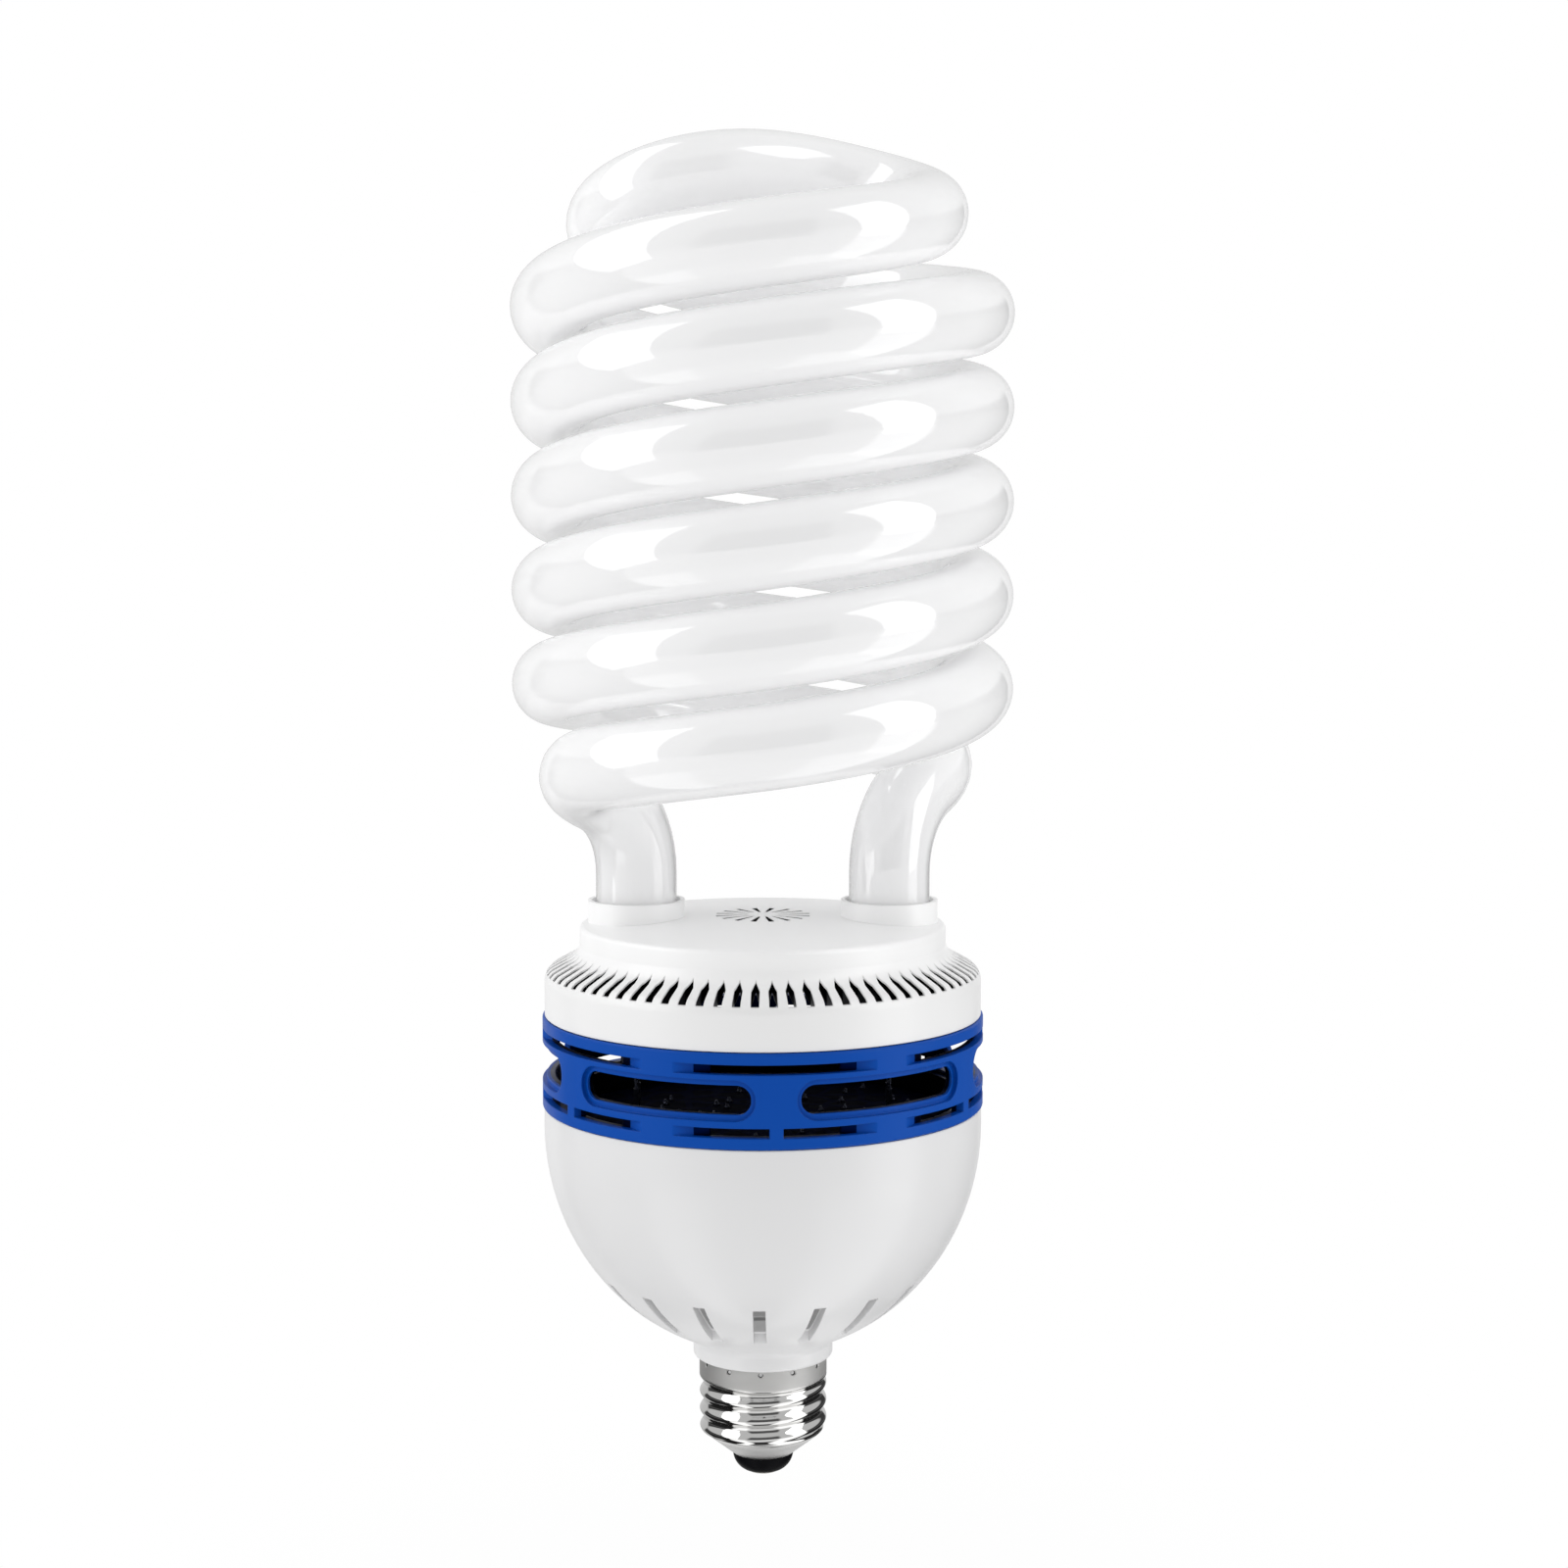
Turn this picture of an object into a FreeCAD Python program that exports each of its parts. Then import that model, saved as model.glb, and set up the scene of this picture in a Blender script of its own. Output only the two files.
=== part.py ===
# Spiral energy saving lamp with an Edison screw cap, in millimetres.
# The lamp stands cap down: +Z is up and the origin is the middle of the contact's lower face.
# Angles round the axis are counted from the front, -Y, towards +X.

import FreeCAD, Part
import Sketcher
import math
import os

Vec = FreeCAD.Vector
UP = Vec(0, 0, 1)
doc = FreeCAD.newDocument("SpiralLamp")

# Driving sizes

SIZES = {
    # cap
    "contact_radius": 3.6,
    "contact_thickness": 1.3,
    "contact_edge": 0.4,
    "insulator_tip_height": 0.5,
    "insulator_rim": 0.6,
    "insulator_thickness": 4.2,
    "eyelet_height": 3.9,
    "eyelet_radius": 6.2,
    "sheet_thickness": 0.4,
    "thread_start": 8.95,
    "thread_pitch": 3.629,
    "thread_depth": 0.85,
    "rim_radius": 13.05,
    "rim_height": 4.6,
    "rim_clearance": 0.05,
    # lower housing: bowl_rise is from the neck's lower edge to the bowl's lowest point
    "neck_wall": 1.2,
    "neck_rounding": 0.6,
    "neck_blend": 2.0,
    "spigot_depth": 11.0,
    "spigot_wall": 2.3,
    "bowl_radius": 44.45,
    "bowl_depth": 46.6,
    "bowl_rise": 1.5,
    "bowl_rim_height": 4.1,
    "bowl_wall": 2.0,
    "vent_count": 18,
    "vent_angle": -0.8,
    "vent_width": 2.4,
    "vent_inner_share": 0.553,
    "vent_outer_share": 0.772,
    "ledge_height": 2.0,
    "ledge_overlap": 2.4,
    # vent ring
    "ring_height": 18.3,
    "ring_overhang": 0.3,
    "ring_wall": 2.6,
    "ring_edge": 0.35,
    "lip_height": 1.5,
    "lip_root": 2.4,
    "lip_wall": 1.6,
    "lip_clearance": 0.15,
    "strut_angle": 3.75,
    "window_count": 6,
    "window_width_share": 0.791,
    "window_height_share": 0.306,
    "window_lift": 0.15,
    "window_rounding_share": 0.464,
    "recess_margin": 1.1,
    "recess_depth": 0.9,
    "slit_width_share": 0.8715,
    "slit_height": 1.9,
    "slit_depth_share": 0.0983,
    "slit_margin": 2.2,
    "divider_width": 2.6,
    # top cover, set in from the bowl
    "seam": 0.25,
    "cover_inset": 0.15,
    "cover_wall": 2.1,
    "skirt_height": 6.7,
    "shoulder_inset": 1.4,
    "shoulder_height": 2.9,
    "flare_foot_inset": 4.6,
    "flare_slope_rise": 1.75,
    "flare_curve_rise": 2.95,
    "plate_inset": 7.15,
    "plate_edge_height": 3.0,
    "plate_edge_rounding": 1.0,
    "plate_dome": 1.6,
    "slot_count": 78,
    "slot_angle": 3.1,
    "slot_width": 1.6,
    "slot_depth": 0.6,
    "slot_inner_inset": 6.6,
    "slot_outer_inset": 0.5,
    "slot_point_length": 2.2,
    "collar_height": 3.1,
    "collar_wall": 0.85,
    "collar_margin": 1.65,
    "socket_depth": 16.0,
    "cement_depth": 5.0,
    # rosette of slits in the plate, as shares of the room between the collars
    "ray_count": 16,
    "ray_width_share": 0.078,
    "ray_point_share": 0.03,
    "ray_inner_share": 0.201,
    "ray_outer_share": 0.61,
    # glass tube; the shares are of its radius, those of the bridge of the coil's pitch
    "tube_radius": 8.2,
    "tube_clearance": 0.75,
    "leg_height_share": 1.0366,
    "leg_protrusion": 1.3,
    "coil_spread_share": 2.0244,
    "strand_gap": 2.37,
    "coil_rise_share": 3.411,
    "coil_turns": 2.5,
    "coil_entry_turns": 0.118,
    "bridge_start_turns": 0.063,
    "bridge_sweep_turns": 0.501,
    "bridge_fullness": 3.87,
    "bridge_rise_share": 0.6793,
    "bridge_crown_share": 1.2706,
    # circuit: plan sizes as shares of the board's radius, heights as shares of the room below it
    "board_drop": 1.0,
    "board_clearance": 2.05,
    "board_thickness": 1.6,
    "capacitor_radius_share": 0.198,
    "capacitor_length_share": 0.596,
    "capacitor_side_share": 0.297,
    "capacitor_offset_share": 0.347,
    "choke_width_share": 0.619,
    "choke_depth_share": 0.198,
    "choke_height_share": 0.505,
    "choke_offset_share": 0.396,
    "choke_leg_share": 0.124,
    "bobbin_flange_share": 0.025,
    "winding_depth_share": 0.347,
    "winding_inset_share": 0.008,
    "drive_outer_share": 0.136,
    "drive_inner_share": 0.069,
    "drive_height_share": 0.103,
    "drive_offset_share": 0.025,
    "package_width_share": 0.252,
    "package_depth_share": 0.111,
    "package_height_share": 0.344,
    "package_gap_share": 0.046,
    "package_offset_share": 0.693,
    "sink_width_share": 0.347,
    "sink_height_share": 0.436,
    "sink_thickness_share": 0.037,
    "film_width_share": 0.347,
    "film_depth_share": 0.149,
    "film_height_share": 0.252,
    "film_offset_share": 0.668,
    "filter_radius_share": 0.124,
    "filter_height_share": 0.275,
    "corner_x_share": 0.644,
    "corner_y_share": 0.421,
    "small_offset_share": 0.718,
    "small_side_share": 0.322,
    "small_spacing_share": 0.104,
    "diode_radius_share": 0.033,
    "diode_length_share": 0.124,
    "resistor_radius_share": 0.04,
    "resistor_length_share": 0.161,
    "fuse_radius_share": 0.054,
    "fuse_length_share": 0.223,
    "fuse_offset_share": 0.854,
    "post_side": 1.0,
    "post_height": 6.5,
    "lead_radius": 0.4,
    "lead_spacing": 6.0,
    "wire_radius": 0.75,
    "wire_bend": 6.0,
    "wire_spacing": 5.0,
    "wire_offset_share": 0.47,
    "wire_clearance": 3.3,
    "wire_foot_offset": 1.5,
}

sheet = doc.addObject("Spreadsheet::Sheet", "Sizes")
for row, (name, number) in enumerate(SIZES.items(), 1):
    sheet.set("A%d" % row, name)
    sheet.set("B%d" % row, str(number))
    sheet.setAlias("B%d" % row, name)
doc.recompute()


class Size:
    """A size with the formula that ties it to the sheet."""

    def __init__(self, text, value):
        self.text = text
        self.value = float(value)

    def joined(self, other, sign, value):
        return Size("(%s %s %s)" % (self.text, sign, size(other).text), value)

    def __add__(self, other):
        return self.joined(other, "+", self.value + size(other).value)

    def __sub__(self, other):
        return self.joined(other, "-", self.value - size(other).value)

    def __mul__(self, other):
        return self.joined(other, "*", self.value * size(other).value)

    def __truediv__(self, other):
        return self.joined(other, "/", self.value / size(other).value)

    def __rsub__(self, other):
        return size(other) - self

    def __neg__(self):
        return Size("(0 - %s)" % self.text, -self.value)


def size(item):
    if isinstance(item, Size):
        return item
    if isinstance(item, str):
        return Size("Sizes." + item, sheet.get(item))
    return Size(repr(float(item)), item)


def root_of(item):
    return Size("sqrt(%s)" % item.text, math.sqrt(item.value))


def chord(dx, dy):
    return root_of(size(dx) * dx + size(dy) * dy)


def sine(item):
    return Size("sin(%s * 1deg)" % item.text, math.sin(math.radians(item.value)))


def cosine(item):
    return Size("cos(%s * 1deg)" % item.text, math.cos(math.radians(item.value)))


def bind(thing, prop, item):
    thing.setExpression(prop, size(item).text)


def place(thing, x=0.0, y=0.0, z=0.0, turn=None):
    """Put a primitive at a point, turned about an axis by some degrees."""
    x, y, z = size(x), size(y), size(z)
    spin = FreeCAD.Rotation(*turn) if turn else FreeCAD.Rotation()
    thing.Placement = FreeCAD.Placement(Vec(x.value, y.value, z.value), spin)
    bind(thing, "Placement.Base.x", x)
    bind(thing, "Placement.Base.y", y)
    bind(thing, "Placement.Base.z", z)
    return thing


def primitive(kind, label, sizes, x=0.0, y=0.0, z=0.0, turn=None):
    thing = doc.addObject("Part::" + kind, label)
    thing.Label = label
    for prop, item in sizes.items():
        setattr(thing, prop, size(item).value)
        bind(thing, prop, item)
    return place(thing, x, y, z, turn)


def cylinder(label, radius, height, x=0.0, y=0.0, z=0.0, turn=None):
    return primitive("Cylinder", label, {"Radius": radius, "Height": height}, x, y, z, turn)


def block(label, width, depth, height, x=0.0, y=0.0, z=0.0):
    """A box centred on x and y that stands on z."""
    width, depth = size(width), size(depth)
    sizes = {"Length": width, "Width": depth, "Height": height}
    return primitive("Box", label, sizes, size(x) - width / 2, size(y) - depth / 2, z)


def cut(label, base, tool):
    thing = doc.addObject("Part::Cut", label)
    thing.Label = label
    thing.Base, thing.Tool = base, tool
    return thing


def fuse(label, shapes):
    thing = doc.addObject("Part::MultiFuse", label)
    thing.Label = label
    thing.Shapes = shapes
    return thing


def group(label, shapes):
    thing = doc.addObject("Part::Compound", label)
    thing.Label = label
    thing.Links = shapes
    return thing


def new_body(label):
    body = doc.addObject("PartDesign::Body", label)
    body.Label = label
    return body


def new_sketch(body, name, plane="XZ_Plane", off=0.0, spin=0.0):
    """A sketch on an origin plane of its body, turned about +Z and set off along its own normal."""
    sketch = body.newObject("Sketcher::SketchObject", name)
    face = next(f for f in body.Origin.OriginFeatures if f.Role == plane)
    sketch.AttachmentSupport = [(face, "")]
    sketch.MapMode = "FlatFace"
    off, spin = size(off), size(spin)
    upright = plane == "XZ_Plane"
    axis = Vec(0, 1, 0) if upright else UP
    side = off * sine(spin) if upright else size(0)
    ahead = off * cosine(spin) if upright else off
    turn = FreeCAD.Rotation(axis, spin.value)
    sketch.AttachmentOffset = FreeCAD.Placement(Vec(side.value, 0, ahead.value), turn)
    bind(sketch, "AttachmentOffset.Base.x", side)
    bind(sketch, "AttachmentOffset.Base.z", ahead)
    bind(sketch, "AttachmentOffset.Rotation.Angle", spin)
    return sketch


def pin(sketch, line, x, y, end=1):
    """Hold the end of a sketch line at a point that the sheet gives."""
    for kind, axis, item in (("DistanceX", -2, size(x)), ("DistanceY", -1, size(y))):
        if item.value == 0:
            sketch.addConstraint(Sketcher.Constraint("PointOnObject", line, end, axis))
        else:
            number = sketch.addConstraint(Sketcher.Constraint(kind, -1, 1, line, end, item.value))
            sketch.setExpression("Constraints[%d]" % number, item.text)


def outline(sketch, corners):
    """A closed outline. A corner is (x, y), or (x, y, radius, side) where an arc leaves it."""
    points = [Vec(size(c[0]).value, size(c[1]).value, 0) for c in corners]
    lines = []
    for i, corner in enumerate(corners):
        a, b = points[i], points[(i + 1) % len(points)]
        if len(corner) > 2:
            radius, side = size(corner[2]), corner[3]
            chord = b - a
            height = math.sqrt(max(radius.value ** 2 - chord.Length ** 2 / 4, 0))
            normal = Vec(-chord.y, chord.x, 0).normalize() * side
            centre = (a + b) * 0.5 + normal * height
            middle = centre - normal * radius.value
            arc = Part.Arc(a, middle, b)
            lines.append((sketch.addGeometry(arc, False), radius, side))
        else:
            lines.append((sketch.addGeometry(Part.LineSegment(a, b), False), None, 0))
    ends = []
    for i, (line, radius, side) in enumerate(lines):
        # arcs run counter-clockwise, so one that bulges to the other side is held by its far end
        start = sketch.getPoint(line, 1)
        ends.append((1, 2) if (start - points[i]).Length < 1e-6 else (2, 1))
    for i, corner in enumerate(corners):
        line, radius, side = lines[i]
        after = lines[i - 1][0]
        if line != after:
            sketch.addConstraint(Sketcher.Constraint("Coincident", after, ends[i - 1][1], line, ends[i][0]))
        pin(sketch, line, corner[0], corner[1], ends[i][0])
        if radius:
            number = sketch.addConstraint(Sketcher.Constraint("Radius", line, radius.value))
            sketch.setExpression("Constraints[%d]" % number, radius.text)
    return sketch


def turned(body, name, corners):
    """A solid of revolution round the lamp's axis."""
    sketch = outline(new_sketch(body, name + "_profile"), corners)
    sketch.Visibility = False
    turn = body.newObject("PartDesign::Revolution", name)
    turn.Profile = sketch
    turn.ReferenceAxis = (sketch, ["V_Axis"])
    turn.Angle = 360
    return turn


def grooved(body, name, corners):
    """Turn a hollow out of a body."""
    sketch = outline(new_sketch(body, name + "_profile"), corners)
    turn = body.newObject("PartDesign::Groove", name)
    turn.Profile = sketch
    turn.ReferenceAxis = (sketch, ["V_Axis"])
    turn.Angle = 360
    return turn


def pocket(body, name, sketch, depth, reverse=False, midplane=False):
    thing = body.newObject("PartDesign::Pocket", name)
    thing.Profile = sketch
    thing.Length = size(depth).value
    bind(thing, "Length", depth)
    thing.Reversed = reverse
    thing.Midplane = midplane
    return thing


def pad(body, name, sketch, length, reverse=False):
    thing = body.newObject("PartDesign::Pad", name)
    thing.Profile = sketch
    thing.Length = size(length).value
    bind(thing, "Length", length)
    thing.Reversed = reverse
    return thing


def ring_of(body, name, features, count):
    """Repeat features round the axis."""
    thing = body.newObject("PartDesign::PolarPattern", name)
    thing.Originals = features
    axis = next(f for f in body.Origin.OriginFeatures if f.Role == "Z_Axis")
    thing.Axis = (axis, [""])
    thing.Angle = 360
    bind(thing, "Occurrences", count)
    body.Tip = thing
    return thing


# Contact and insulator of the cap

contact = new_body("centre_contact")
turned(contact, "contact_disc", [
    (0, 0),
    (size("contact_radius") - "contact_edge", 0),
    ("contact_radius", "contact_edge"),
    ("contact_radius", "contact_thickness"),
    (0, "contact_thickness"),
])

flank = chord(size("eyelet_radius") - "contact_radius" - "insulator_rim",
              size("eyelet_height") - "insulator_tip_height")
insulator = new_body("cap_insulator")
turned(insulator, "insulator_disc", [
    ("contact_radius", "insulator_tip_height"),
    (size("contact_radius") + "insulator_rim", "insulator_tip_height", flank, 1),
    ("eyelet_radius", "eyelet_height"),
    (size("eyelet_radius") - size("sheet_thickness"), "eyelet_height"),
    (size("eyelet_radius") - size("sheet_thickness"), size("insulator_tip_height") + size("insulator_thickness")),
    (0, size("insulator_tip_height") + size("insulator_thickness")),
    (0, "contact_thickness"),
    ("contact_radius", "contact_thickness"),
])

# Screw shell: a thin pressed sheet with a rounded thread, drawn here as rings

half_pitch = size("thread_pitch") / 2
wave = size("thread_depth") / 2
middle = size("rim_radius") - size("rim_clearance") - wave
wave_radius = (half_pitch * half_pitch / 4 + wave * wave) / (wave * 2)
thread_end = size("thread_start") + half_pitch * 6
rim_top = thread_end + size("rim_height")
neck_bottom = rim_top
sheet_inner = middle - wave - size("sheet_thickness")

corners = [("eyelet_radius", "eyelet_height")]
for k in range(6):
    side = 1 if k % 2 == 0 else -1
    corners.append((middle, size("thread_start") + half_pitch * k, wave_radius, side))
corners += [
    (middle, thread_end),
    ("rim_radius", thread_end),
    ("rim_radius", rim_top),
    (size("rim_radius") - size("sheet_thickness"), rim_top),
    (size("rim_radius") - size("sheet_thickness"), thread_end + size("sheet_thickness")),
    (sheet_inner, thread_end + size("sheet_thickness")),
]
corners += [
    (sheet_inner, "thread_start"),
    (size("eyelet_radius") - size("sheet_thickness"), "eyelet_height"),
]
shell = new_body("screw_shell")
turned(shell, "pressed_sheet", corners)

# Lower housing: a bowl that narrows to the neck, with a spigot inside the screw shell

bowl_inner = size("bowl_radius") - "bowl_wall"
bowl_inner_depth = size("bowl_depth") - "bowl_wall"
bowl_centre = neck_bottom + "bowl_rise" + "bowl_depth"
ring_bottom = bowl_centre + "bowl_rim_height"
board_level = bowl_centre - "board_drop"
spigot_radius = size("rim_radius") - "sheet_thickness" - "rim_clearance"
spigot_low_radius = sheet_inner - "rim_clearance"
spigot_bore = spigot_low_radius - "spigot_wall"
neck_radius = size("rim_radius") + "neck_wall"
blend_radius = neck_radius + "neck_blend"
board_top = board_level + "board_thickness"
ring_radius = size("bowl_radius") + "ring_overhang"
lip_outer = ring_radius - "ring_wall" - "lip_clearance"
lip_inner = lip_outer - "lip_wall"
board_radius = bowl_inner - "board_clearance"
ledge_inner = board_radius - "ledge_overlap"


def bowl_level(radius, wide, deep):
    """Height of the bowl's surface at a distance from the axis."""
    slope = size(radius) / wide
    return bowl_centre - size(deep) * root_of(1 - slope * slope)


def half_bowl(label, wide, deep):
    sizes = {"Radius1": deep, "Radius2": wide, "Radius3": wide, "Angle1": -90, "Angle2": 0, "Angle3": 360}
    return primitive("Ellipsoid", label, sizes, z=bowl_centre)


def band(label, outer, inner, low, high):
    """A plain ring round the axis."""
    height = size(high) - low
    return cut(label, cylinder(label + "_outside", outer, height, z=low),
               cylinder(label + "_inside", inner, height, z=low))


def spokes(label, count, start, width, inner, outer, low, height, shift=0.0):
    """Blocks that point away from the axis, or pass it at a distance if shifted."""
    blocks = []
    for k in range(int(size(count).value)):
        angle = size(start) - 90 + size(360.0 * k) / count
        edge = size(width) / 2 - shift
        x = size(inner) * cosine(angle) + edge * sine(angle)
        y = size(inner) * sine(angle) - edge * cosine(angle)
        sizes = {"Length": size(outer) - inner, "Width": width, "Height": height}
        spoke = primitive("Box", "%s_%d" % (label, k + 1), sizes, x, y, low, (UP, angle.value))
        bind(spoke, "Placement.Rotation.Angle", angle)
        blocks.append(spoke)
    return group(label, blocks)


blend_top = bowl_level(blend_radius, "bowl_radius", "bowl_depth") + "rim_clearance"
blend_chord = chord("neck_blend", "neck_blend")
neck = new_body("neck")
turned(neck, "neck_section", [
    (spigot_bore, neck_bottom),
    (neck_radius - "neck_rounding", neck_bottom, "neck_rounding", 1),
    (neck_radius, neck_bottom + "neck_rounding"),
    (neck_radius, blend_top - "neck_blend", blend_chord, -1),
    (blend_radius, blend_top),
    (spigot_bore, blend_top),
])
bowl_outside = fuse("bowl_outside", [
    half_bowl("bowl_round", "bowl_radius", "bowl_depth"),
    cylinder("bowl_rim", "bowl_radius", ring_bottom - bowl_centre - "seam", z=bowl_centre),
    primitive("Cone", "bowl_seam", {
        "Radius1": "bowl_radius", "Radius2": size("bowl_radius") - "seam", "Height": "seam",
    }, z=ring_bottom - "seam"),
    neck,
    cylinder("spigot_top", spigot_radius, neck_bottom - thread_end,
             z=thread_end + "sheet_thickness" + "rim_clearance"),
    cylinder("spigot", spigot_low_radius, "spigot_depth", z=neck_bottom - "spigot_depth"),
])
bowl_inside = fuse("bowl_inside", [
    half_bowl("bowl_hollow", bowl_inner, bowl_inner_depth),
    cylinder("rim_hollow", bowl_inner, size("bowl_rim_height") * 2, z=bowl_centre),
    cylinder("neck_bore", spigot_bore, size("spigot_depth") + "bowl_rise" + "bowl_depth",
             z=neck_bottom - size("spigot_depth")),
])
vent_inner = size("bowl_radius") * "vent_inner_share"
vent_outer = size("bowl_radius") * "vent_outer_share"
vent_low = neck_bottom + "bowl_rise" + "bowl_wall"
vent_top = bowl_level(vent_outer, bowl_inner, bowl_inner_depth) + size("bowl_wall") / 2
vents = spokes("neck_vents", "vent_count", "vent_angle", "vent_width", vent_inner, vent_outer, vent_low,
               vent_top - vent_low)
bowl = cut("bowl", cut("bowl_hollowed", bowl_outside, bowl_inside), vents)
lower_housing = fuse("lower_housing", [
    bowl,
    band("board_ledge", bowl_inner + size("bowl_wall") / 2, ledge_inner,
         board_level - "ledge_height", board_level),
    band("lip_foot", bowl_inner + size("bowl_wall") / 2, lip_inner, ring_bottom - "lip_root", ring_bottom),
    band("lip", lip_outer, lip_inner, ring_bottom - "lip_root", ring_bottom + "lip_height"),
])

# Vent ring: a skin over a core, so that each window has a stepped edge, cut by thin slits at the struts

ring_inner = ring_radius - "ring_wall"
ring_step = ring_radius - "recess_depth"
ring_top = ring_bottom + "ring_height"
window_spin = size("strut_angle") + size(180) / "window_count"
window_width = ring_radius * "window_width_share"
window_height = size("ring_height") * "window_height_share"
window_low = ring_bottom + (size("ring_height") - window_height) / 2 + "window_lift"
window_rounding = window_height * "window_rounding_share"


def windowed(label, section, margin):
    """A sleeve of a given section with rounded windows all round."""
    sleeve = new_body(label)
    turned(sleeve, label + "_section", section)
    right = window_width / 2 + margin
    low = window_low - margin
    high = window_low + window_height + margin
    edge = window_rounding + margin
    sketch = outline(new_sketch(sleeve, label + "_window_outline", spin=window_spin), [
        (edge - right, low),
        (right - edge, low, edge, 1),
        (right, low + edge),
        (right, high - edge, edge, 1),
        (right - edge, high),
        (edge - right, high, edge, 1),
        (-right, high - edge),
        (-right, low + edge, edge, 1),
    ])
    window = pocket(sleeve, label + "_window", sketch, ring_radius, reverse=True)
    ring_of(sleeve, label + "_windows", [window], "window_count")
    return sleeve


slit_floor = ring_radius - ring_radius * "slit_depth_share"
slit_width = ring_radius * "slit_width_share"
slit_low = ring_bottom + "slit_margin"
slit_high = ring_top - "slit_margin" - "slit_height"
half_slit = (slit_width - "divider_width") / 2
half_shift = (slit_width + "divider_width") / 4
slit_end = ring_radius + "ring_overhang"
vent_ring = cut("vent_ring", fuse("vent_sleeve", [
    windowed("vent_skin", [
        (ring_step, ring_bottom),
        (ring_radius - "ring_edge", ring_bottom, "ring_edge", 1),
        (ring_radius, ring_bottom + "ring_edge"),
        (ring_radius, ring_top - "ring_edge", "ring_edge", 1),
        (ring_radius - "ring_edge", ring_top),
        (ring_step, ring_top),
    ], "recess_margin"),
    windowed("vent_core", [
        (ring_inner, ring_bottom),
        (ring_step, ring_bottom),
        (ring_step, ring_top),
        (ring_inner, ring_top),
    ], 0),
]), group("slits", [
    spokes("upper_slits", "window_count", "strut_angle", slit_width, slit_floor, slit_end,
           slit_high, "slit_height"),
    spokes("lower_slits_left", "window_count", "strut_angle", half_slit, slit_floor, slit_end,
           slit_low, "slit_height", -half_shift),
    spokes("lower_slits_right", "window_count", "strut_angle", half_slit, slit_floor, slit_end,
           slit_low, "slit_height", half_shift),
]))

# Top cover: skirt, slotted flare, domed plate and the two collars that hold the tube

top_cover = new_body("top_cover")
skirt_top = ring_top + "skirt_height"
flare_start = skirt_top + "shoulder_height"
flare_foot = flare_start + "flare_slope_rise"
flare_end = flare_foot + "flare_curve_rise"
edge_end = flare_end + "plate_edge_height"
plate_rim = edge_end + "plate_edge_rounding"
plate_top = plate_rim + "plate_dome"
cover_radius = size("bowl_radius") - "cover_inset"
flare_outer = cover_radius - "shoulder_inset"
flare_foot_radius = cover_radius - "flare_foot_inset"
plate_radius = cover_radius - "plate_inset"
plate_reach = plate_radius - "plate_edge_rounding"
dome_radius = (plate_reach * plate_reach + size("plate_dome") * "plate_dome") / (size("plate_dome") * 2)
cover_inner = cover_radius - "cover_wall"
plate_under = plate_rim - "cover_wall"
turned(top_cover, "cover_section", [
    (lip_outer, ring_top),
    (cover_radius - "seam", ring_top),
    (cover_radius, ring_top + "seam"),
    (cover_radius, skirt_top, chord("shoulder_inset", "shoulder_height"), 1),
    (flare_outer, flare_start),
    (flare_foot_radius, flare_foot, chord(flare_foot_radius - plate_radius, "flare_curve_rise") * 0.95, -1),
    (plate_radius, flare_end),
    (plate_radius, edge_end, "plate_edge_rounding", 1),
    (plate_reach, plate_rim, dome_radius, 1),
    (0, plate_top),
    (0, plate_under + "plate_dome"),
    (plate_radius - "cover_wall", plate_under),
    (plate_radius - "cover_wall", flare_end - size("cover_wall") / 2),
    (flare_foot_radius - size("cover_wall") / 2, flare_foot - "cover_wall"),
    (cover_inner, skirt_top - size("cover_wall") / 4),
    (cover_inner, ring_top + "lip_root"),
    (lip_inner, ring_top + "lip_root"),
    (lip_inner, ring_top - "lip_height"),
    (lip_outer, ring_top - "lip_height"),
])


def pair_of_circles(body, name, radius, level):
    sketch = new_sketch(body, name, "XY_Plane", off=level)
    for side in (-1, 1):
        x = leg_offset * side
        circle = sketch.addGeometry(Part.Circle(Vec(x.value, 0, 0), UP, size(radius).value), False)
        pin(sketch, circle, x, 0, 3)
        number = sketch.addConstraint(Sketcher.Constraint("Radius", circle, size(radius).value))
        sketch.setExpression("Constraints[%d]" % number, size(radius).text)
    return sketch


bore_radius = size("tube_radius") + "tube_clearance"
collar_radius = bore_radius + "collar_wall"
leg_offset = plate_radius - collar_radius - "collar_margin"
socket_low = plate_top - "socket_depth"
collar_top = plate_top + "collar_height"
pad(top_cover, "collars", pair_of_circles(top_cover, "collar_outline", collar_radius, socket_low),
    collar_top - socket_low)
pocket(top_cover, "collar_bores", pair_of_circles(top_cover, "bore_outline", bore_radius, socket_low),
       collar_top - socket_low, reverse=True)
half_slot = size("slot_width") / 2
slot_inner = cover_radius - "slot_inner_inset"
slot_outer = cover_radius - "slot_outer_inset"
slot_low = skirt_top - "slot_depth"
slot_sketch = outline(new_sketch(top_cover, "slot_outline", "XY_Plane", slot_low, size("slot_angle") - 90), [
    (slot_inner, 0),
    (slot_inner + "slot_point_length", -half_slot),
    (slot_outer, -half_slot),
    (slot_outer, half_slot),
    (slot_inner + "slot_point_length", half_slot),
])
slot = pocket(top_cover, "slot", slot_sketch, flare_end - slot_low, reverse=True)
ring_of(top_cover, "slot_ring", [slot], "slot_count")
rosette_room = leg_offset - collar_radius
half_ray = rosette_room * "ray_width_share" / 2
ray_point = rosette_room * "ray_point_share" / 2
ray_inner = rosette_room * "ray_inner_share"
ray_outer = rosette_room * "ray_outer_share"
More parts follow.
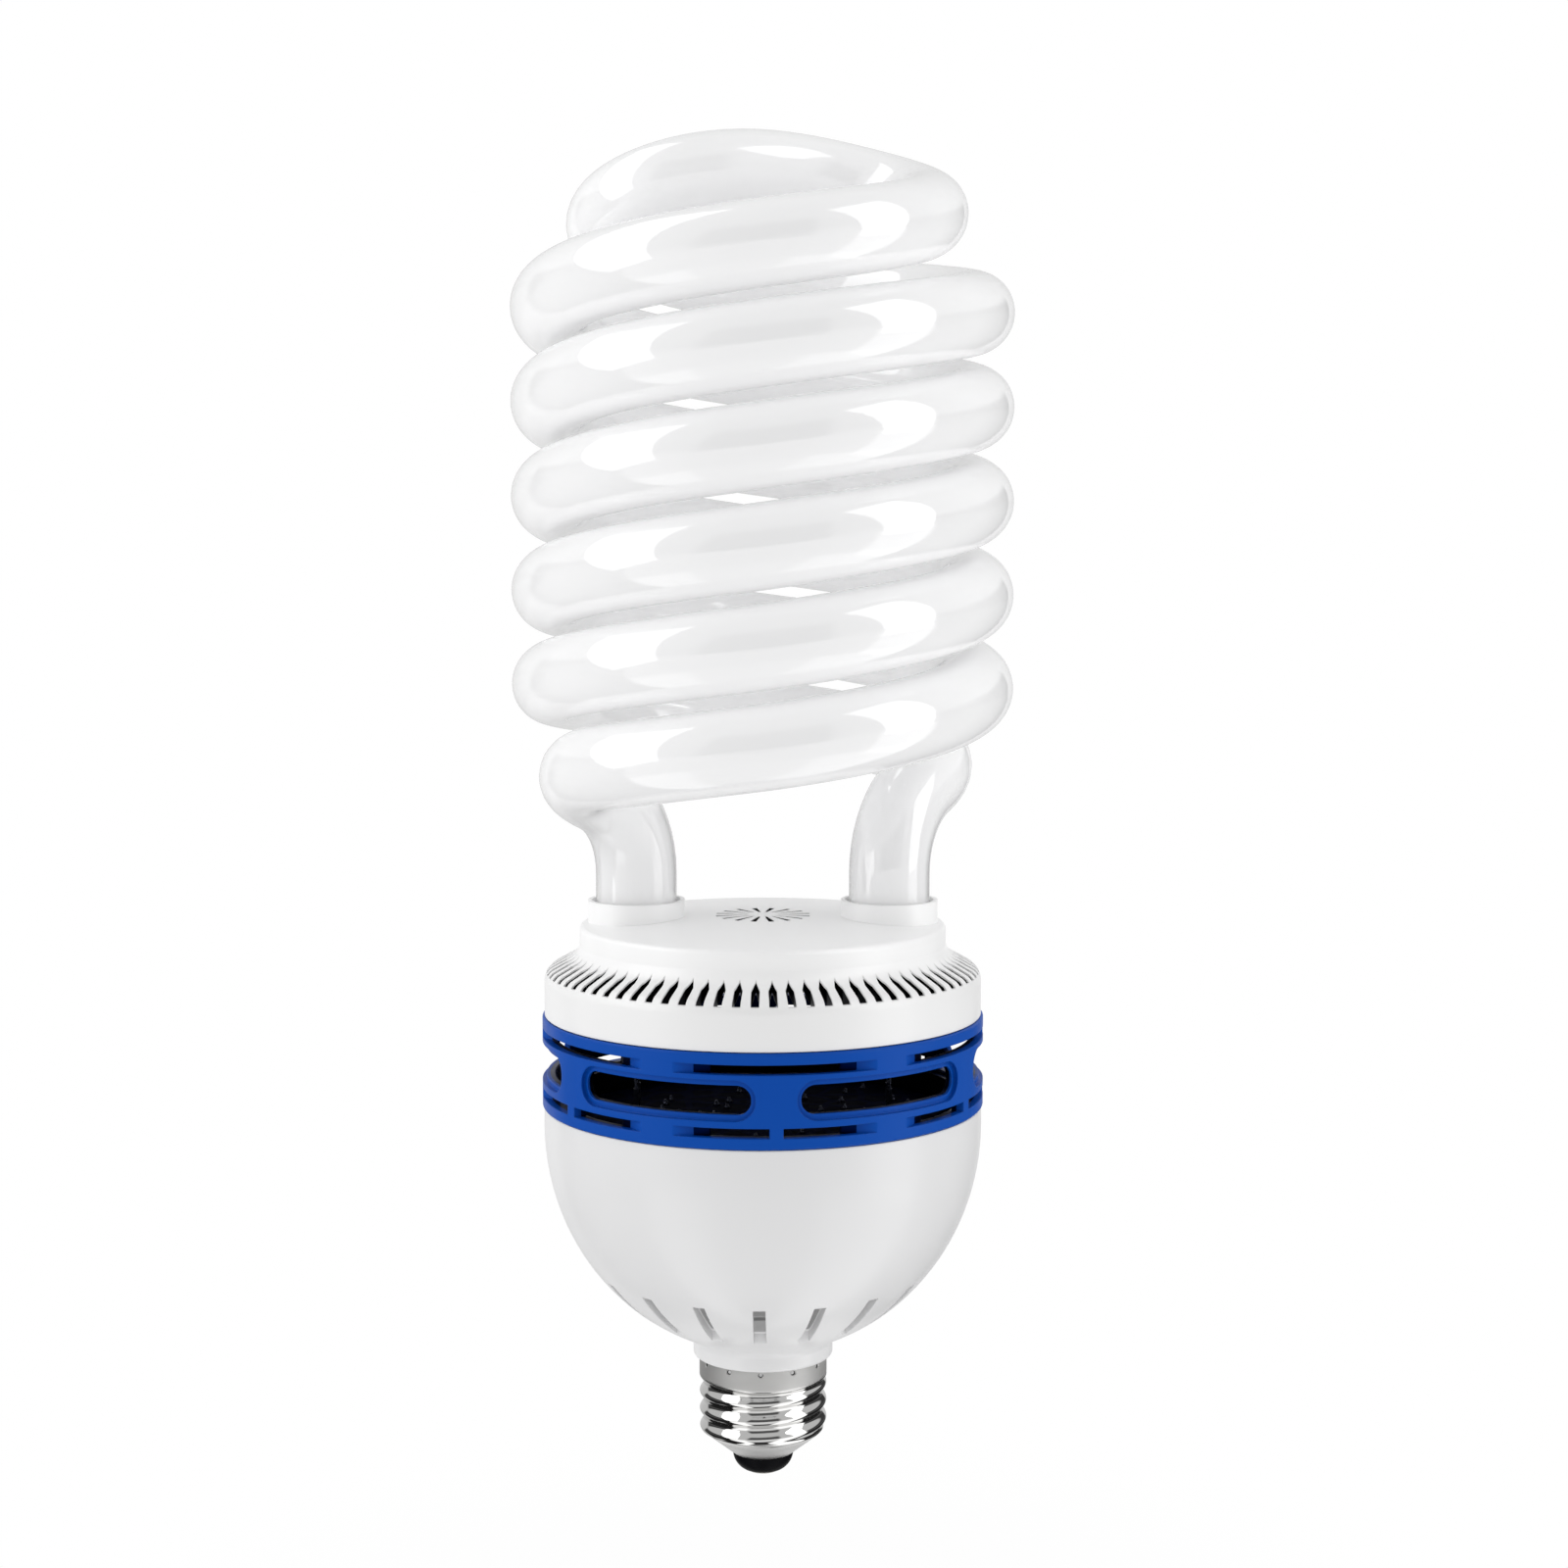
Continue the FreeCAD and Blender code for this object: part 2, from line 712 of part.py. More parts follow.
ray_sketch = outline(new_sketch(top_cover, "ray_outline", "XY_Plane", socket_low, size(180) / "ray_count"), [
    (ray_inner, -ray_point),
    (ray_outer, -half_ray),
    (ray_outer, half_ray),
    (ray_inner, ray_point),
])
ray = pocket(top_cover, "ray", ray_sketch, collar_top - socket_low, reverse=True)
ring_of(top_cover, "ray_ring", [ray], "ray_count")

# Glass tube: two legs, a double spiral and the bridge that joins the strands over the middle.
# Its path is a chain of arcs, each tangent to the next, through points of the spiral.

TURN = 2 * math.pi
leg_end = socket_low - "leg_protrusion"
leg_top = plate_top + size("tube_radius") * "leg_height_share"
coil_bottom = plate_top + size("tube_radius") * "coil_rise_share"
leg_x = leg_offset.value
coil_radius = leg_x + SIZES["tube_radius"] * SIZES["coil_spread_share"]
coil_pitch = 4 * SIZES["tube_radius"] + 2 * SIZES["strand_gap"]
entry = 0.5 + SIZES["coil_entry_turns"]
leave = 0.5 + SIZES["coil_turns"] + SIZES["bridge_start_turns"]


def spiral(turns):
    angle = TURN * turns
    height = coil_bottom.value + coil_pitch * (turns - 0.5)
    return Vec(coil_radius * math.cos(angle), coil_radius * math.sin(angle), height)


def spiral_way(turns):
    angle = TURN * turns
    way = Vec(-math.sin(angle), math.cos(angle), coil_pitch / (TURN * coil_radius))
    return way.normalize()


def bridge(part):
    """From the end of the spiral (0) to the crown on the axis (1)."""
    x = 1 - (1 - part) ** 2
    radius = coil_radius * math.sqrt(max(0.0, 1 - x ** SIZES["bridge_fullness"]))
    low = spiral(leave).z
    high = low + coil_pitch * SIZES["bridge_rise_share"]
    sweep = SIZES["bridge_sweep_turns"]
    ease = x * x * (3 - 2 * x)
    height = low * (1 - ease) + high * ease
    height += coil_pitch * sweep * x * (1 - x) ** 2
    height += coil_pitch * SIZES["bridge_crown_share"] * x * x * (x - 1)
    angle = TURN * (leave + x * sweep)
    return Vec(radius * math.cos(angle), radius * math.sin(angle), height)


def bridge_way(part):
    step = 1e-4
    if part < step:
        return spiral_way(leave)
    if part > 1 - step:
        way = bridge(1) - bridge(1 - step)
        return Vec(way.x, way.y, 0).normalize()
    return (bridge(part + step) - bridge(part - step)).normalize()


def two_arcs(a, way_a, b, way_b):
    """Two arcs that leave a and reach b along the given directions."""
    gap, both = b - a, way_a + way_b
    along, bend = gap.dot(both), 2 * (1 - way_a.dot(way_b))
    reach = (math.sqrt(along * along + bend * gap.dot(gap)) - along) / bend
    join = (a + way_a * reach + b - way_b * reach) * 0.5
    arcs = []
    for start, corner, end in ((a, a + way_a * reach, join), (join, b - way_b * reach, b)):
        half = (start + end) * 0.5
        cosine_half = (end - start).Length / (2 * reach)
        arcs.append((start, half + (corner - half) * (cosine_half / (1 + cosine_half)), end))
    return arcs


foot = Vec(-leg_x, 0, leg_end.value)
knee = Vec(-leg_x, 0, leg_top.value)
knots = [(knee, UP), (spiral(entry), spiral_way(entry))]
steps = max(4, math.ceil((leave - entry) * 4))
for k in range(1, steps + 1):
    turns = entry + (leave - entry) * k / steps
    knots.append((spiral(turns), spiral_way(turns)))
for k in range(1, 8):
    knots.append((bridge(k / 7), bridge_way(k / 7)))
strand = []
for (a, way_a), (b, way_b) in zip(knots[:-1], knots[1:]):
    strand += two_arcs(a, way_a, b, way_b)


def half_turn(point):
    return Vec(-point.x, -point.y, point.z)


back = [tuple(half_turn(point) for point in reversed(arc)) for arc in reversed(strand)]
edges = [Part.LineSegment(foot, knee).toShape()]
edges += [Part.Arc(*arc).toShape() for arc in strand + back]
edges.append(Part.LineSegment(half_turn(knee), half_turn(foot)).toShape())
tube_path = doc.addObject("Part::Feature", "tube_path")
tube_path.Shape = Part.Wire(edges)
tube_section = doc.addObject("Part::Circle", "tube_section")
bind(tube_section, "Radius", "tube_radius")
place(tube_section, -leg_offset, 0, leg_end)
spiral_tube = doc.addObject("Part::Sweep", "spiral_tube")
spiral_tube.Label = "spiral_tube"
spiral_tube.Sections = [tube_section]
spiral_tube.Spine = (tube_path, ["Edge%d" % (k + 1) for k in range(len(edges))])
spiral_tube.Solid = True
spiral_tube.Frenet = False

# Cement round the tube's ends, in the sockets of the cover

cement = []
for name, side in (("left", -1), ("right", 1)):
    x = leg_offset * side
    around = cylinder("cement_%s_outside" % name, bore_radius, "cement_depth", x, 0, socket_low)
    bore = cylinder("cement_%s_inside" % name, "tube_radius", "cement_depth", x, 0, socket_low)
    cement.append(cut("cement_" + name, around, bore))
tube_cement = group("tube_cement", cement)

# Circuit board on its ledge, soldered side up, with the parts hanging below it

circuit_board = cylinder("circuit_board", board_radius, "board_thickness", z=board_level)
hanging_room = bowl_inner_depth - "board_drop"


def plan(name):
    """A size across the board, given as a share of its radius."""
    return board_radius * (name + "_share")


def drop(name):
    """A height below the board, given as a share of the room there."""
    return hanging_room * (name + "_share")


def hang(height):
    """Height of the foot of a part that hangs from the board."""
    return board_level - height


capacitors = []
for name, side in (("left", -1), ("right", 1)):
    capacitors.append(cylinder("bulk_capacitor_" + name, plan("capacitor_radius"), drop("capacitor_length"),
                               plan("capacitor_side") * side, plan("capacitor_offset"),
                               hang(drop("capacitor_length"))))

choke_y = -plan("choke_offset")
choke_width = plan("choke_width")
choke_depth = plan("choke_depth")
choke_height = drop("choke_height")
core_low = hang(choke_height)
limb = plan("choke_leg")
core_frame = block("core_frame", choke_width, choke_depth, choke_height, 0, choke_y, core_low)
core_window = block("core_window", choke_width - limb, choke_depth, choke_height - limb,
                    0, choke_y, core_low + limb / 2)
core_middle = block("core_middle", limb, choke_depth, choke_height - limb,
                    0, choke_y, core_low + limb / 2)
choke_core = fuse("choke_core", [cut("core_open", core_frame, core_window), core_middle])
flange = plan("bobbin_flange")
winding_depth = plan("winding_depth")
winding_inset = plan("winding_inset")
bobbin_low = core_low + limb / 2
bobbin_height = choke_height - limb
bobbin_width = choke_width - limb - flange
reel = fuse("reel", [
    block("reel_low", bobbin_width, winding_depth, flange, 0, choke_y, bobbin_low),
    block("reel_high", bobbin_width, winding_depth, flange, 0, choke_y, bobbin_low + bobbin_height - flange),
    block("reel_tube", limb + flange * 2, choke_depth + flange * 2, bobbin_height, 0, choke_y, bobbin_low),
])
choke_bobbin = cut("choke_bobbin", reel,
                   block("reel_bore", limb, choke_depth, bobbin_height, 0, choke_y, bobbin_low))
winding_height = bobbin_height - flange * 2
choke_winding = cut("choke_winding",
                    block("winding_outside", bobbin_width - winding_inset * 2, winding_depth - winding_inset * 2,
                          winding_height, 0, choke_y, bobbin_low + flange),
                    block("winding_inside", limb + flange * 2, choke_depth + flange * 2, winding_height,
                          0, choke_y, bobbin_low + flange))

drive_low = hang(drop("drive_height"))
drive_y = -plan("drive_offset")
drive_height = drop("drive_height")
drive_core = cut("drive_core", cylinder("drive_outside", plan("drive_outer"), drive_height, 0, drive_y, drive_low),
                 cylinder("drive_inside", plan("drive_inner"), drive_height, 0, drive_y, drive_low))

transistors = []
sinks = []
for name, side in (("left", -1), ("right", 1)):
    x = plan("package_offset") * side
    transistors.append(block("transistor_" + name, plan("package_depth"), plan("package_width"),
                             drop("package_height"), x, 0, hang(drop("package_height") + drop("package_gap"))))
    sink_x = x + (plan("package_depth") + plan("sink_thickness")) / 2 * side
    sinks.append(block("heat_sink_" + name, plan("sink_thickness"), plan("sink_width"), drop("sink_height"),
                       sink_x, 0, hang(drop("sink_height"))))

resonance_capacitor = block("resonance_capacitor", plan("film_width"), plan("film_depth"), drop("film_height"),
                            0, plan("film_offset"), hang(drop("film_height")))
coupling_capacitor = block("coupling_capacitor", plan("film_depth"), plan("film_width"), drop("film_height"),
                           plan("corner_x"), plan("corner_y"), hang(drop("film_height")))
filter_choke = cylinder("filter_choke", plan("filter_radius"), drop("filter_height"),
                        -plan("corner_x"), plan("corner_y"), hang(drop("filter_height")))


def small_row(tag, count, radius, length, side):
    """Small round parts that lie side by side under the board."""
    row = []
    for k in range(count):
        x = plan("small_spacing") * (k - (count - 1) / 2) + plan("small_side") * side
        y = -plan("small_offset") - plan(length) / 2
        row.append(cylinder("%s_%d" % (tag, k + 1), plan(radius), plan(length), x, y, board_level - plan(radius),
                            (Vec(-1, 0, 0), 90)))
    return row


rectifier_diodes = group("rectifier_diodes", small_row("diode", 4, "diode_radius", "diode_length", -1))
resistor_row = group("resistors", small_row("resistor", 3, "resistor_radius", "resistor_length", 1))
fuse_resistor = cylinder("fuse_resistor", plan("fuse_radius"), plan("fuse_length"), plan("fuse_length") / -2,
                         plan("fuse_offset"), board_level - plan("fuse_radius"), (Vec(0, 1, 0), 90))

# Posts for the lead wires of the two filaments, and the leads down from the tube

posts = []
leads = []
for name, side in (("left", -1), ("right", 1)):
    for number, way in ((1, -1), (2, 1)):
        x = leg_offset * side
        y = size("lead_spacing") / 2 * way
        tag = "%s_%d" % (name, number)
        posts.append(block("post_" + tag, "post_side", "post_side", "post_height", x, y, board_top))
        leads.append(cylinder("lead_" + tag, "lead_radius", leg_end - board_top - "post_height", x, y,
                              board_top + "post_height"))
wire_posts = group("wire_posts", posts)
filament_leads = group("filament_leads", leads)


def wire(label, points, bends):
    """A round wire through the points, with an arc at each corner."""
    points = [Vec(*p) for p in points]
    runs, start = [], points[0]
    for corner, after, bend in zip(points[1:-1], points[2:], bends):
        way_in = (corner - start).normalize()
        way_out = (after - corner).normalize()
        turn = way_in.getAngle(way_out)
        reach = bend * math.tan(turn / 2)
        a, b = corner - way_in * reach, corner + way_out * reach
        inward = (way_out - way_in).normalize()
        middle = corner + inward * (bend / math.cos(turn / 2) - bend)
        runs.append(Part.LineSegment(start, a).toShape())
        runs.append(Part.Arc(a, middle, b).toShape())
        start = b
    runs.append(Part.LineSegment(start, points[-1]).toShape())
    route = doc.addObject("Part::Feature", label + "_route")
    route.Shape = Part.Wire(runs)
    section = doc.addObject("Part::Circle", label + "_section")
    bind(section, "Radius", "wire_radius")
    section.Placement = FreeCAD.Placement(points[0], FreeCAD.Rotation(Vec(1, 0, 0), 180))
    thing = doc.addObject("Part::Sweep", label)
    thing.Label = label
    thing.Sections = [section]
    thing.Spine = (route, ["Edge%d" % (k + 1) for k in range(len(runs))])
    thing.Solid = True
    thing.Frenet = False
    return thing


level = board_level.value
side = SIZES["wire_spacing"] / 2
bend = SIZES["wire_bend"]
start_y = plan("wire_offset").value
turn_level = bowl_level(plan("wire_offset"), bowl_inner, bowl_inner_depth).value + SIZES["wire_clearance"]
bowl_floor = vent_low.value
insulator_top = SIZES["insulator_tip_height"] + SIZES["insulator_thickness"]
live_y = SIZES["wire_foot_offset"]
live_wire = wire("live_wire", [
    (side, start_y, level),
    (side, start_y, turn_level),
    (side, live_y, bowl_floor),
    (side, live_y, insulator_top),
], [bend, bend])
eyelet_edge = SIZES["eyelet_radius"] - SIZES["sheet_thickness"]
slope = (SIZES["thread_start"] - SIZES["eyelet_height"]) / (sheet_inner.value - eyelet_edge)
neutral_radius = spigot_bore.value - 2 * SIZES["wire_radius"]
neutral_foot = SIZES["eyelet_height"] + (neutral_radius + SIZES["wire_radius"] - eyelet_edge) * slope
neutral_wire = wire("neutral_wire", [
    (-side, start_y, level),
    (-side, start_y, turn_level),
    (-neutral_radius, 0, bowl_floor),
    (-neutral_radius, 0, neutral_foot),
], [bend, bend])

# Check every object, then write the pieces

doc.recompute()
NODES = [
    contact, insulator, shell, lower_housing, vent_ring, top_cover, spiral_tube, tube_cement,
    circuit_board, capacitors[0], capacitors[1], choke_core, choke_bobbin, choke_winding, drive_core,
    transistors[0], transistors[1], sinks[0], sinks[1], resonance_capacitor, coupling_capacitor,
    filter_choke, rectifier_diodes, resistor_row, fuse_resistor, wire_posts, filament_leads,
    live_wire, neutral_wire,
]
for thing in doc.Objects:
    if "Invalid" in thing.State or "Error" in thing.State:
        raise RuntimeError("%s failed: %s" % (thing.Name, thing.State))
os.makedirs("parts", exist_ok=True)
for node in NODES:
    shape = node.Shape
    if shape.isNull() or not shape.isValid() or not shape.Solids:
        raise RuntimeError("%s has no valid shape" % node.Label)
    shape.exportStep("parts/%s.step" % node.Label)
    print("%-22s %d solid, %.0f mm3" % (node.Label, len(shape.Solids), shape.Volume))
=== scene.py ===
import math
import random

import bmesh
import bpy
from mathutils import Matrix, Vector


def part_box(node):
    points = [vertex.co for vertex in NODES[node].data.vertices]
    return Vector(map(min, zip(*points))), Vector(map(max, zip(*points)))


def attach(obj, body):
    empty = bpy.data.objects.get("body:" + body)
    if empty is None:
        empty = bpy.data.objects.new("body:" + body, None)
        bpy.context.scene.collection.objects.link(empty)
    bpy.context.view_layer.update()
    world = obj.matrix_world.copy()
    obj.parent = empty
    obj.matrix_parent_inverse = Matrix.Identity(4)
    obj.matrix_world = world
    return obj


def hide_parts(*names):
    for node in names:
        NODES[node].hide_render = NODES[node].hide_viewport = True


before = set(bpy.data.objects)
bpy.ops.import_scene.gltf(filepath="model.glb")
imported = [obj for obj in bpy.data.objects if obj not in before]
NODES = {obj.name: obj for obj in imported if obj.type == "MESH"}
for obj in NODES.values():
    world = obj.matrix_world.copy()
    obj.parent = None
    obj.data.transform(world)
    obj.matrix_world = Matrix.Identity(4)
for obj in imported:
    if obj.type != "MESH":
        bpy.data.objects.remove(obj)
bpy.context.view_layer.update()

MM = 0.001
TURN = 2 * math.pi
SCENE = bpy.context.scene
rng = random.Random(7)

# Camera at the photograph's viewpoint

CAMERA_PLACE = (0.0043, -0.530, 0.1912)
CAMERA_TILT = 3.314
FOCAL_LENGTH = 60.22
SENSOR_WIDTH = 36
CAMERA_SHIFT = -0.06

camera_data = bpy.data.cameras.new("view")
camera = bpy.data.objects.new("view", camera_data)
SCENE.collection.objects.link(camera)
camera.location = CAMERA_PLACE
camera.rotation_euler = (math.radians(90 - CAMERA_TILT), 0, 0)
camera_data.lens = FOCAL_LENGTH
camera_data.sensor_width = SENSOR_WIDTH
camera_data.sensor_fit = "HORIZONTAL"
camera_data.shift_y = CAMERA_SHIFT
camera_data.clip_start = 0.01
SCENE.camera = camera


# Node trees: the same short calls for materials, floor and world

class Tree:
    """Adds nodes to a node tree and joins them; a value is an output or a plain number."""

    def __init__(self, tree):
        self.tree = tree

    def node(self, kind, **props):
        made = self.tree.nodes.new(kind)
        for key, value in props.items():
            setattr(made, key, value)
        return made

    def link(self, a, b):
        self.tree.links.new(a, b)

    def feed(self, socket, value):
        if isinstance(value, (int, float)):
            socket.default_value = value
        else:
            self.link(value, socket)

    def calc(self, operation, *values):
        made = self.node("ShaderNodeMath", operation=operation)
        for socket, value in zip(made.inputs, values):
            self.feed(socket, value)
        return made.outputs[0]

    def spread(self, value, low, high, start=0.3, end=0.7, shape="LINEAR"):
        """Map the stretch from start to end of a value to low and high."""
        made = self.node("ShaderNodeMapRange", interpolation_type=shape)
        self.link(value, made.inputs["Value"])
        for key, number in (("From Min", start), ("From Max", end), ("To Min", low), ("To Max", high)):
            made.inputs[key].default_value = number
        return made.outputs["Result"]

    def ramp(self, value, low, high, start, end):
        return self.spread(value, low, high, start, end, "SMOOTHSTEP")

    def apart(self, vector):
        made = self.node("ShaderNodeSeparateXYZ")
        self.link(vector, made.inputs[0])
        return made.outputs[0], made.outputs[1], made.outputs[2]

    def blend(self, share, first, second):
        """Mix two colours, each an output or three plain numbers."""
        made = self.node("ShaderNodeMix", data_type="RGBA")
        self.link(share, made.inputs["Factor"])
        for socket, value in ((made.inputs[6], first), (made.inputs[7], second)):
            if isinstance(value, tuple):
                socket.default_value = (*value, 1)
            else:
                self.link(value, socket)
        return made.outputs[2]

    def mix_shader(self, share, first, second):
        made = self.node("ShaderNodeMixShader")
        self.link(share, made.inputs["Fac"])
        self.link(first, made.inputs[1])
        self.link(second, made.inputs[2])
        return made.outputs[0]

    def glow(self, kind, strength):
        """White light from an Emission or Background node."""
        made = self.node(kind)
        made.inputs["Color"].default_value = (1, 1, 1, 1)
        self.feed(made.inputs["Strength"], strength)
        return made.outputs[0]


class Mat(Tree):
    """A material: a small node tree over the Principled shader."""

    def __init__(self, name, colour, rough, metal=0.0, **sockets):
        self.material = bpy.data.materials.new(name)
        self.material.use_nodes = True
        super().__init__(self.material.node_tree)
        self.shader = self.tree.nodes["Principled BSDF"]
        self.coords = self.node("ShaderNodeTexCoord").outputs["Object"]
        self.normal = None
        self.base = None
        self.set("Base Color", (*colour, 1))
        self.set("Roughness", rough)
        self.set("Metallic", metal)
        for key, value in sockets.items():
            self.set(key.replace("_", " "), value)

    def set(self, key, value):
        self.shader.inputs[key].default_value = value

    def noise(self, scale, detail=3.0, stretch=None):
        made = self.node("ShaderNodeTexNoise")
        made.inputs["Scale"].default_value = scale
        made.inputs["Detail"].default_value = detail
        source = self.coords
        if stretch:
            mapping = self.node("ShaderNodeMapping")
            mapping.inputs["Scale"].default_value = stretch
            self.link(source, mapping.inputs["Vector"])
            source = mapping.outputs["Vector"]
        self.link(source, made.inputs["Vector"])
        return made.outputs["Fac"]

    def tint(self, value, dark, light):
        ramp = self.node("ShaderNodeValToRGB")
        for element, colour, place in zip(ramp.color_ramp.elements, (dark, light), (0.3, 0.7)):
            element.color = (*colour, 1)
            element.position = place
        self.link(value, ramp.inputs["Fac"])
        return ramp.outputs["Color"]

    def height(self):
        return self.apart(self.coords)[2]

    def inside(self, outline):
        """Mask of the points inside a turned outline of (radius, height) in millimetres."""
        x, y, z = self.apart(self.coords)
        r = self.calc("SQRT", self.calc("ADD", self.calc("MULTIPLY", x, x), self.calc("MULTIPLY", y, y)))
        total = None
        for (wide, low), (narrow, high) in zip(outline[:-1], outline[1:]):
            limit = self.spread(z, wide * MM, narrow * MM, low * MM, high * MM)
            below = self.calc("LESS_THAN", z, high * MM)
            above = self.calc("GREATER_THAN", z, low * MM)
            band = self.calc("MULTIPLY", self.calc("LESS_THAN", r, limit), below)
            band = self.calc("MULTIPLY", band, above)
            total = band if total is None else self.calc("ADD", total, band)
        return total

    def colour(self, output):
        self.base = output
        self.link(output, self.shader.inputs["Base Color"])
        return self

    def rough(self, output):
        self.link(output, self.shader.inputs["Roughness"])
        return self

    def edge(self, radius):
        """Soft edges: the corners catch the light as rounded ones do."""
        made = self.node("ShaderNodeBevel", samples=6)
        made.inputs["Radius"].default_value = radius
        self.normal = made.outputs["Normal"]
        self.link(self.normal, self.shader.inputs["Normal"])
        return self

    def bump(self, value, height, strength=1.0):
        made = self.node("ShaderNodeBump")
        made.inputs["Strength"].default_value = strength
        made.inputs["Distance"].default_value = height
        self.link(value, made.inputs["Height"])
        if self.normal:
            self.link(self.normal, made.inputs["Normal"])
        self.normal = made.outputs["Normal"]
        self.link(self.normal, self.shader.inputs["Normal"])
        return self


# Turned outlines of (radius, height) in millimetres, just under the skin of the piece; inside them light or
# shade is painted: painted shade on the hollow insides, in the seams between parts and in the punched marks,
# and a painted glow on the bowl's lower inside

BOWL_MIDDLE = 72.54
BOWL_INNER_RADIUS = 43.0
BOWL_INNER_DEPTH = 45.1
NECK_INSIDE = 12.3


def bowl_inner(z):
    """A point of the bowl's inner side, a quarter of an ellipse."""
    return BOWL_INNER_RADIUS * math.sqrt(1 - ((BOWL_MIDDLE - z) / BOWL_INNER_DEPTH) ** 2), z


# Outline of the bowl's lower inside, where a painted glow goes
BOWL_GLOW_OUTLINE = [(NECK_INSIDE, 12), (NECK_INSIDE, 28)] + [bowl_inner(z) for z in (28, 30, 33, 37, 42, 48, 58)]
# Painted shade on the bowl's top inside and in the seam under the ring
BOWL_TOP_SHADE_OUTLINE = [
    (43.7, BOWL_MIDDLE - 1), (43.7, 76.45), (44.3, 76.46), (44.3, 76.7), (42.2, 76.71), (42.2, 79),
]
# Painted shade on the ring's inner face
RING_SHADE_OUTLINE = [(43.2, 70), (43.2, 100)]
# Painted shade under the cover and in the seam over the ring
COVER_SHADE_OUTLINE = [
    (43.9, 93.0), (43.9, 94.8), (44.2, 94.81), (44.2, 95.08), (43.9, 95.1), (43.9, 101.6), (43.75, 103.0),
    (43.15, 104.0), (42.3, 104.5), (39.1, 106.2), (37.5, 107.3), (36.8, 109.2), (36.8, 112.6),
    (14.0, 112.61), (14.0, 114.55), (11.0, 114.62), (7.0, 114.69), (2.0, 114.735),
]
# Painted shade in the punched marks of the rim band
MARK_SHADE_OUTLINE = [(12.8, 22.9), (12.8, 24.3)]

# Heights in metres over which a look changes

CONE_TO_THREAD = (0.0076, 0.0086)
THREAD_TO_RIM = (0.0199, 0.0206)
PAINTED_GLOW_FADE = (0.045, 0.058)
SKIRT_SHADE_TO_PLATE = (0.103, 0.110)
EDGE_SHADE_LEGS_TO_COIL = (0.126, 0.142)

# Plastics and other moulded or dipped materials

# Near-black painted shade for the hollow insides and seams of the white plastics
PAINTED_SHADE = (0.006, 0.007, 0.010)
GRAIN = 0.006 * MM


def moulded(name, dark, light, rough, edge=0.25, inside=None, **sockets):
    """Faint mottle, a fine spark-eroded grain and soft edges; inside is the colour of painted shade and its
    outline, where the surface also turns metallic so that its gloss darkens too.
    """
    m = Mat(name, light, rough, **sockets)
    shade = m.tint(m.noise(14, 2), dark, light)
    if inside:
        # Painted shade: inside the outline the colour turns dark and the surface metallic, which takes its
        # gloss away
        colour, outline = inside
        mask = m.inside(outline)
        m.link(mask, m.shader.inputs["Metallic"])
        shade = m.blend(mask, shade, colour)
    m.colour(shade)
    m.rough(m.spread(m.noise(160, 3), rough - 0.04, rough + 0.05))
    m.edge(edge * MM)
    m.bump(m.noise(2600, 2), GRAIN, 0.35)
    return m


def bowl_plastic():
    """White, with painted shade on its top inside and in the seam under the ring, and a faint painted glow
    (emission) on the lower inside that stands in for the light coming through the wall.
    """
    m = moulded("white_plastic", (0.765, 0.765, 0.77), (0.78, 0.78, 0.785), 0.34, 0.35,
                inside=(PAINTED_SHADE, BOWL_TOP_SHADE_OUTLINE), Coat_Weight=0.15, Coat_Roughness=0.12)
    m.set("Emission Color", (1, 1, 1, 1))
    # Painted glow: emission on the lower inside, fading out upwards
    strength = m.calc("MULTIPLY", m.inside(BOWL_GLOW_OUTLINE), m.spread(m.height(), 0.16, 0, *PAINTED_GLOW_FADE))
    m.link(strength, m.shader.inputs["Emission Strength"])
    return m


def cover_plastic():
    """White, with painted shade under the plate and in the seam over the ring, and painted shade that makes
    the skirt a little greyer than the plate.
    """
    m = moulded("cover_plastic", (0.945, 0.945, 0.945), (0.96, 0.96, 0.96), 0.36, 0.35,
                inside=(PAINTED_SHADE, COVER_SHADE_OUTLINE), Coat_Weight=0.1, Coat_Roughness=0.12)
    # Painted shade: the colour is scaled down from the plate to the skirt
    shaded = m.node("ShaderNodeVectorMath", operation="SCALE")
    m.link(m.base, shaded.inputs[0])
    m.link(m.spread(m.height(), 0.90, 1, *SKIRT_SHADE_TO_PLATE), shaded.inputs["Scale"])
    return m.colour(shaded.outputs[0])


white = bowl_plastic()
cover_white = cover_plastic()
# The ring's inner face gets dark navy painted shade
blue = moulded("blue_plastic", (0.0, 0.064, 0.385), (0.001, 0.073, 0.41), 0.38, 0.4,
               inside=((0.0, 0.006, 0.05), RING_SHADE_OUTLINE), Specular_IOR_Level=0.1)
black = moulded("black_insulator", (0.002, 0.002, 0.003), (0.005, 0.005, 0.006), 0.4, 0.3,
                Specular_IOR_Level=0.03)
silicone = moulded("silicone", (0.70, 0.70, 0.67), (0.78, 0.78, 0.75), 0.45, 0.6)
sleeve_black = moulded("shrink_sleeve", (0.010, 0.010, 0.016), (0.020, 0.020, 0.028), 0.32, 0.5)
bobbin = moulded("bobbin_plastic", (0.42, 0.37, 0.28), (0.50, 0.45, 0.34), 0.5, 0.3)
package = moulded("package_plastic", (0.012, 0.012, 0.013), (0.025, 0.025, 0.027), 0.5, 0.3)
film = moulded("film_body", (0.26, 0.05, 0.025), (0.34, 0.07, 0.03), 0.25, 0.8)
lacquer = moulded("resistor_lacquer", (0.42, 0.34, 0.22), (0.52, 0.43, 0.28), 0.4, 0.5)
wire_sleeve = moulded("wire_sleeve", (0.45, 0.45, 0.43), (0.55, 0.55, 0.53), 0.4, 0.1)


# Ferrite, board and copper of the circuit

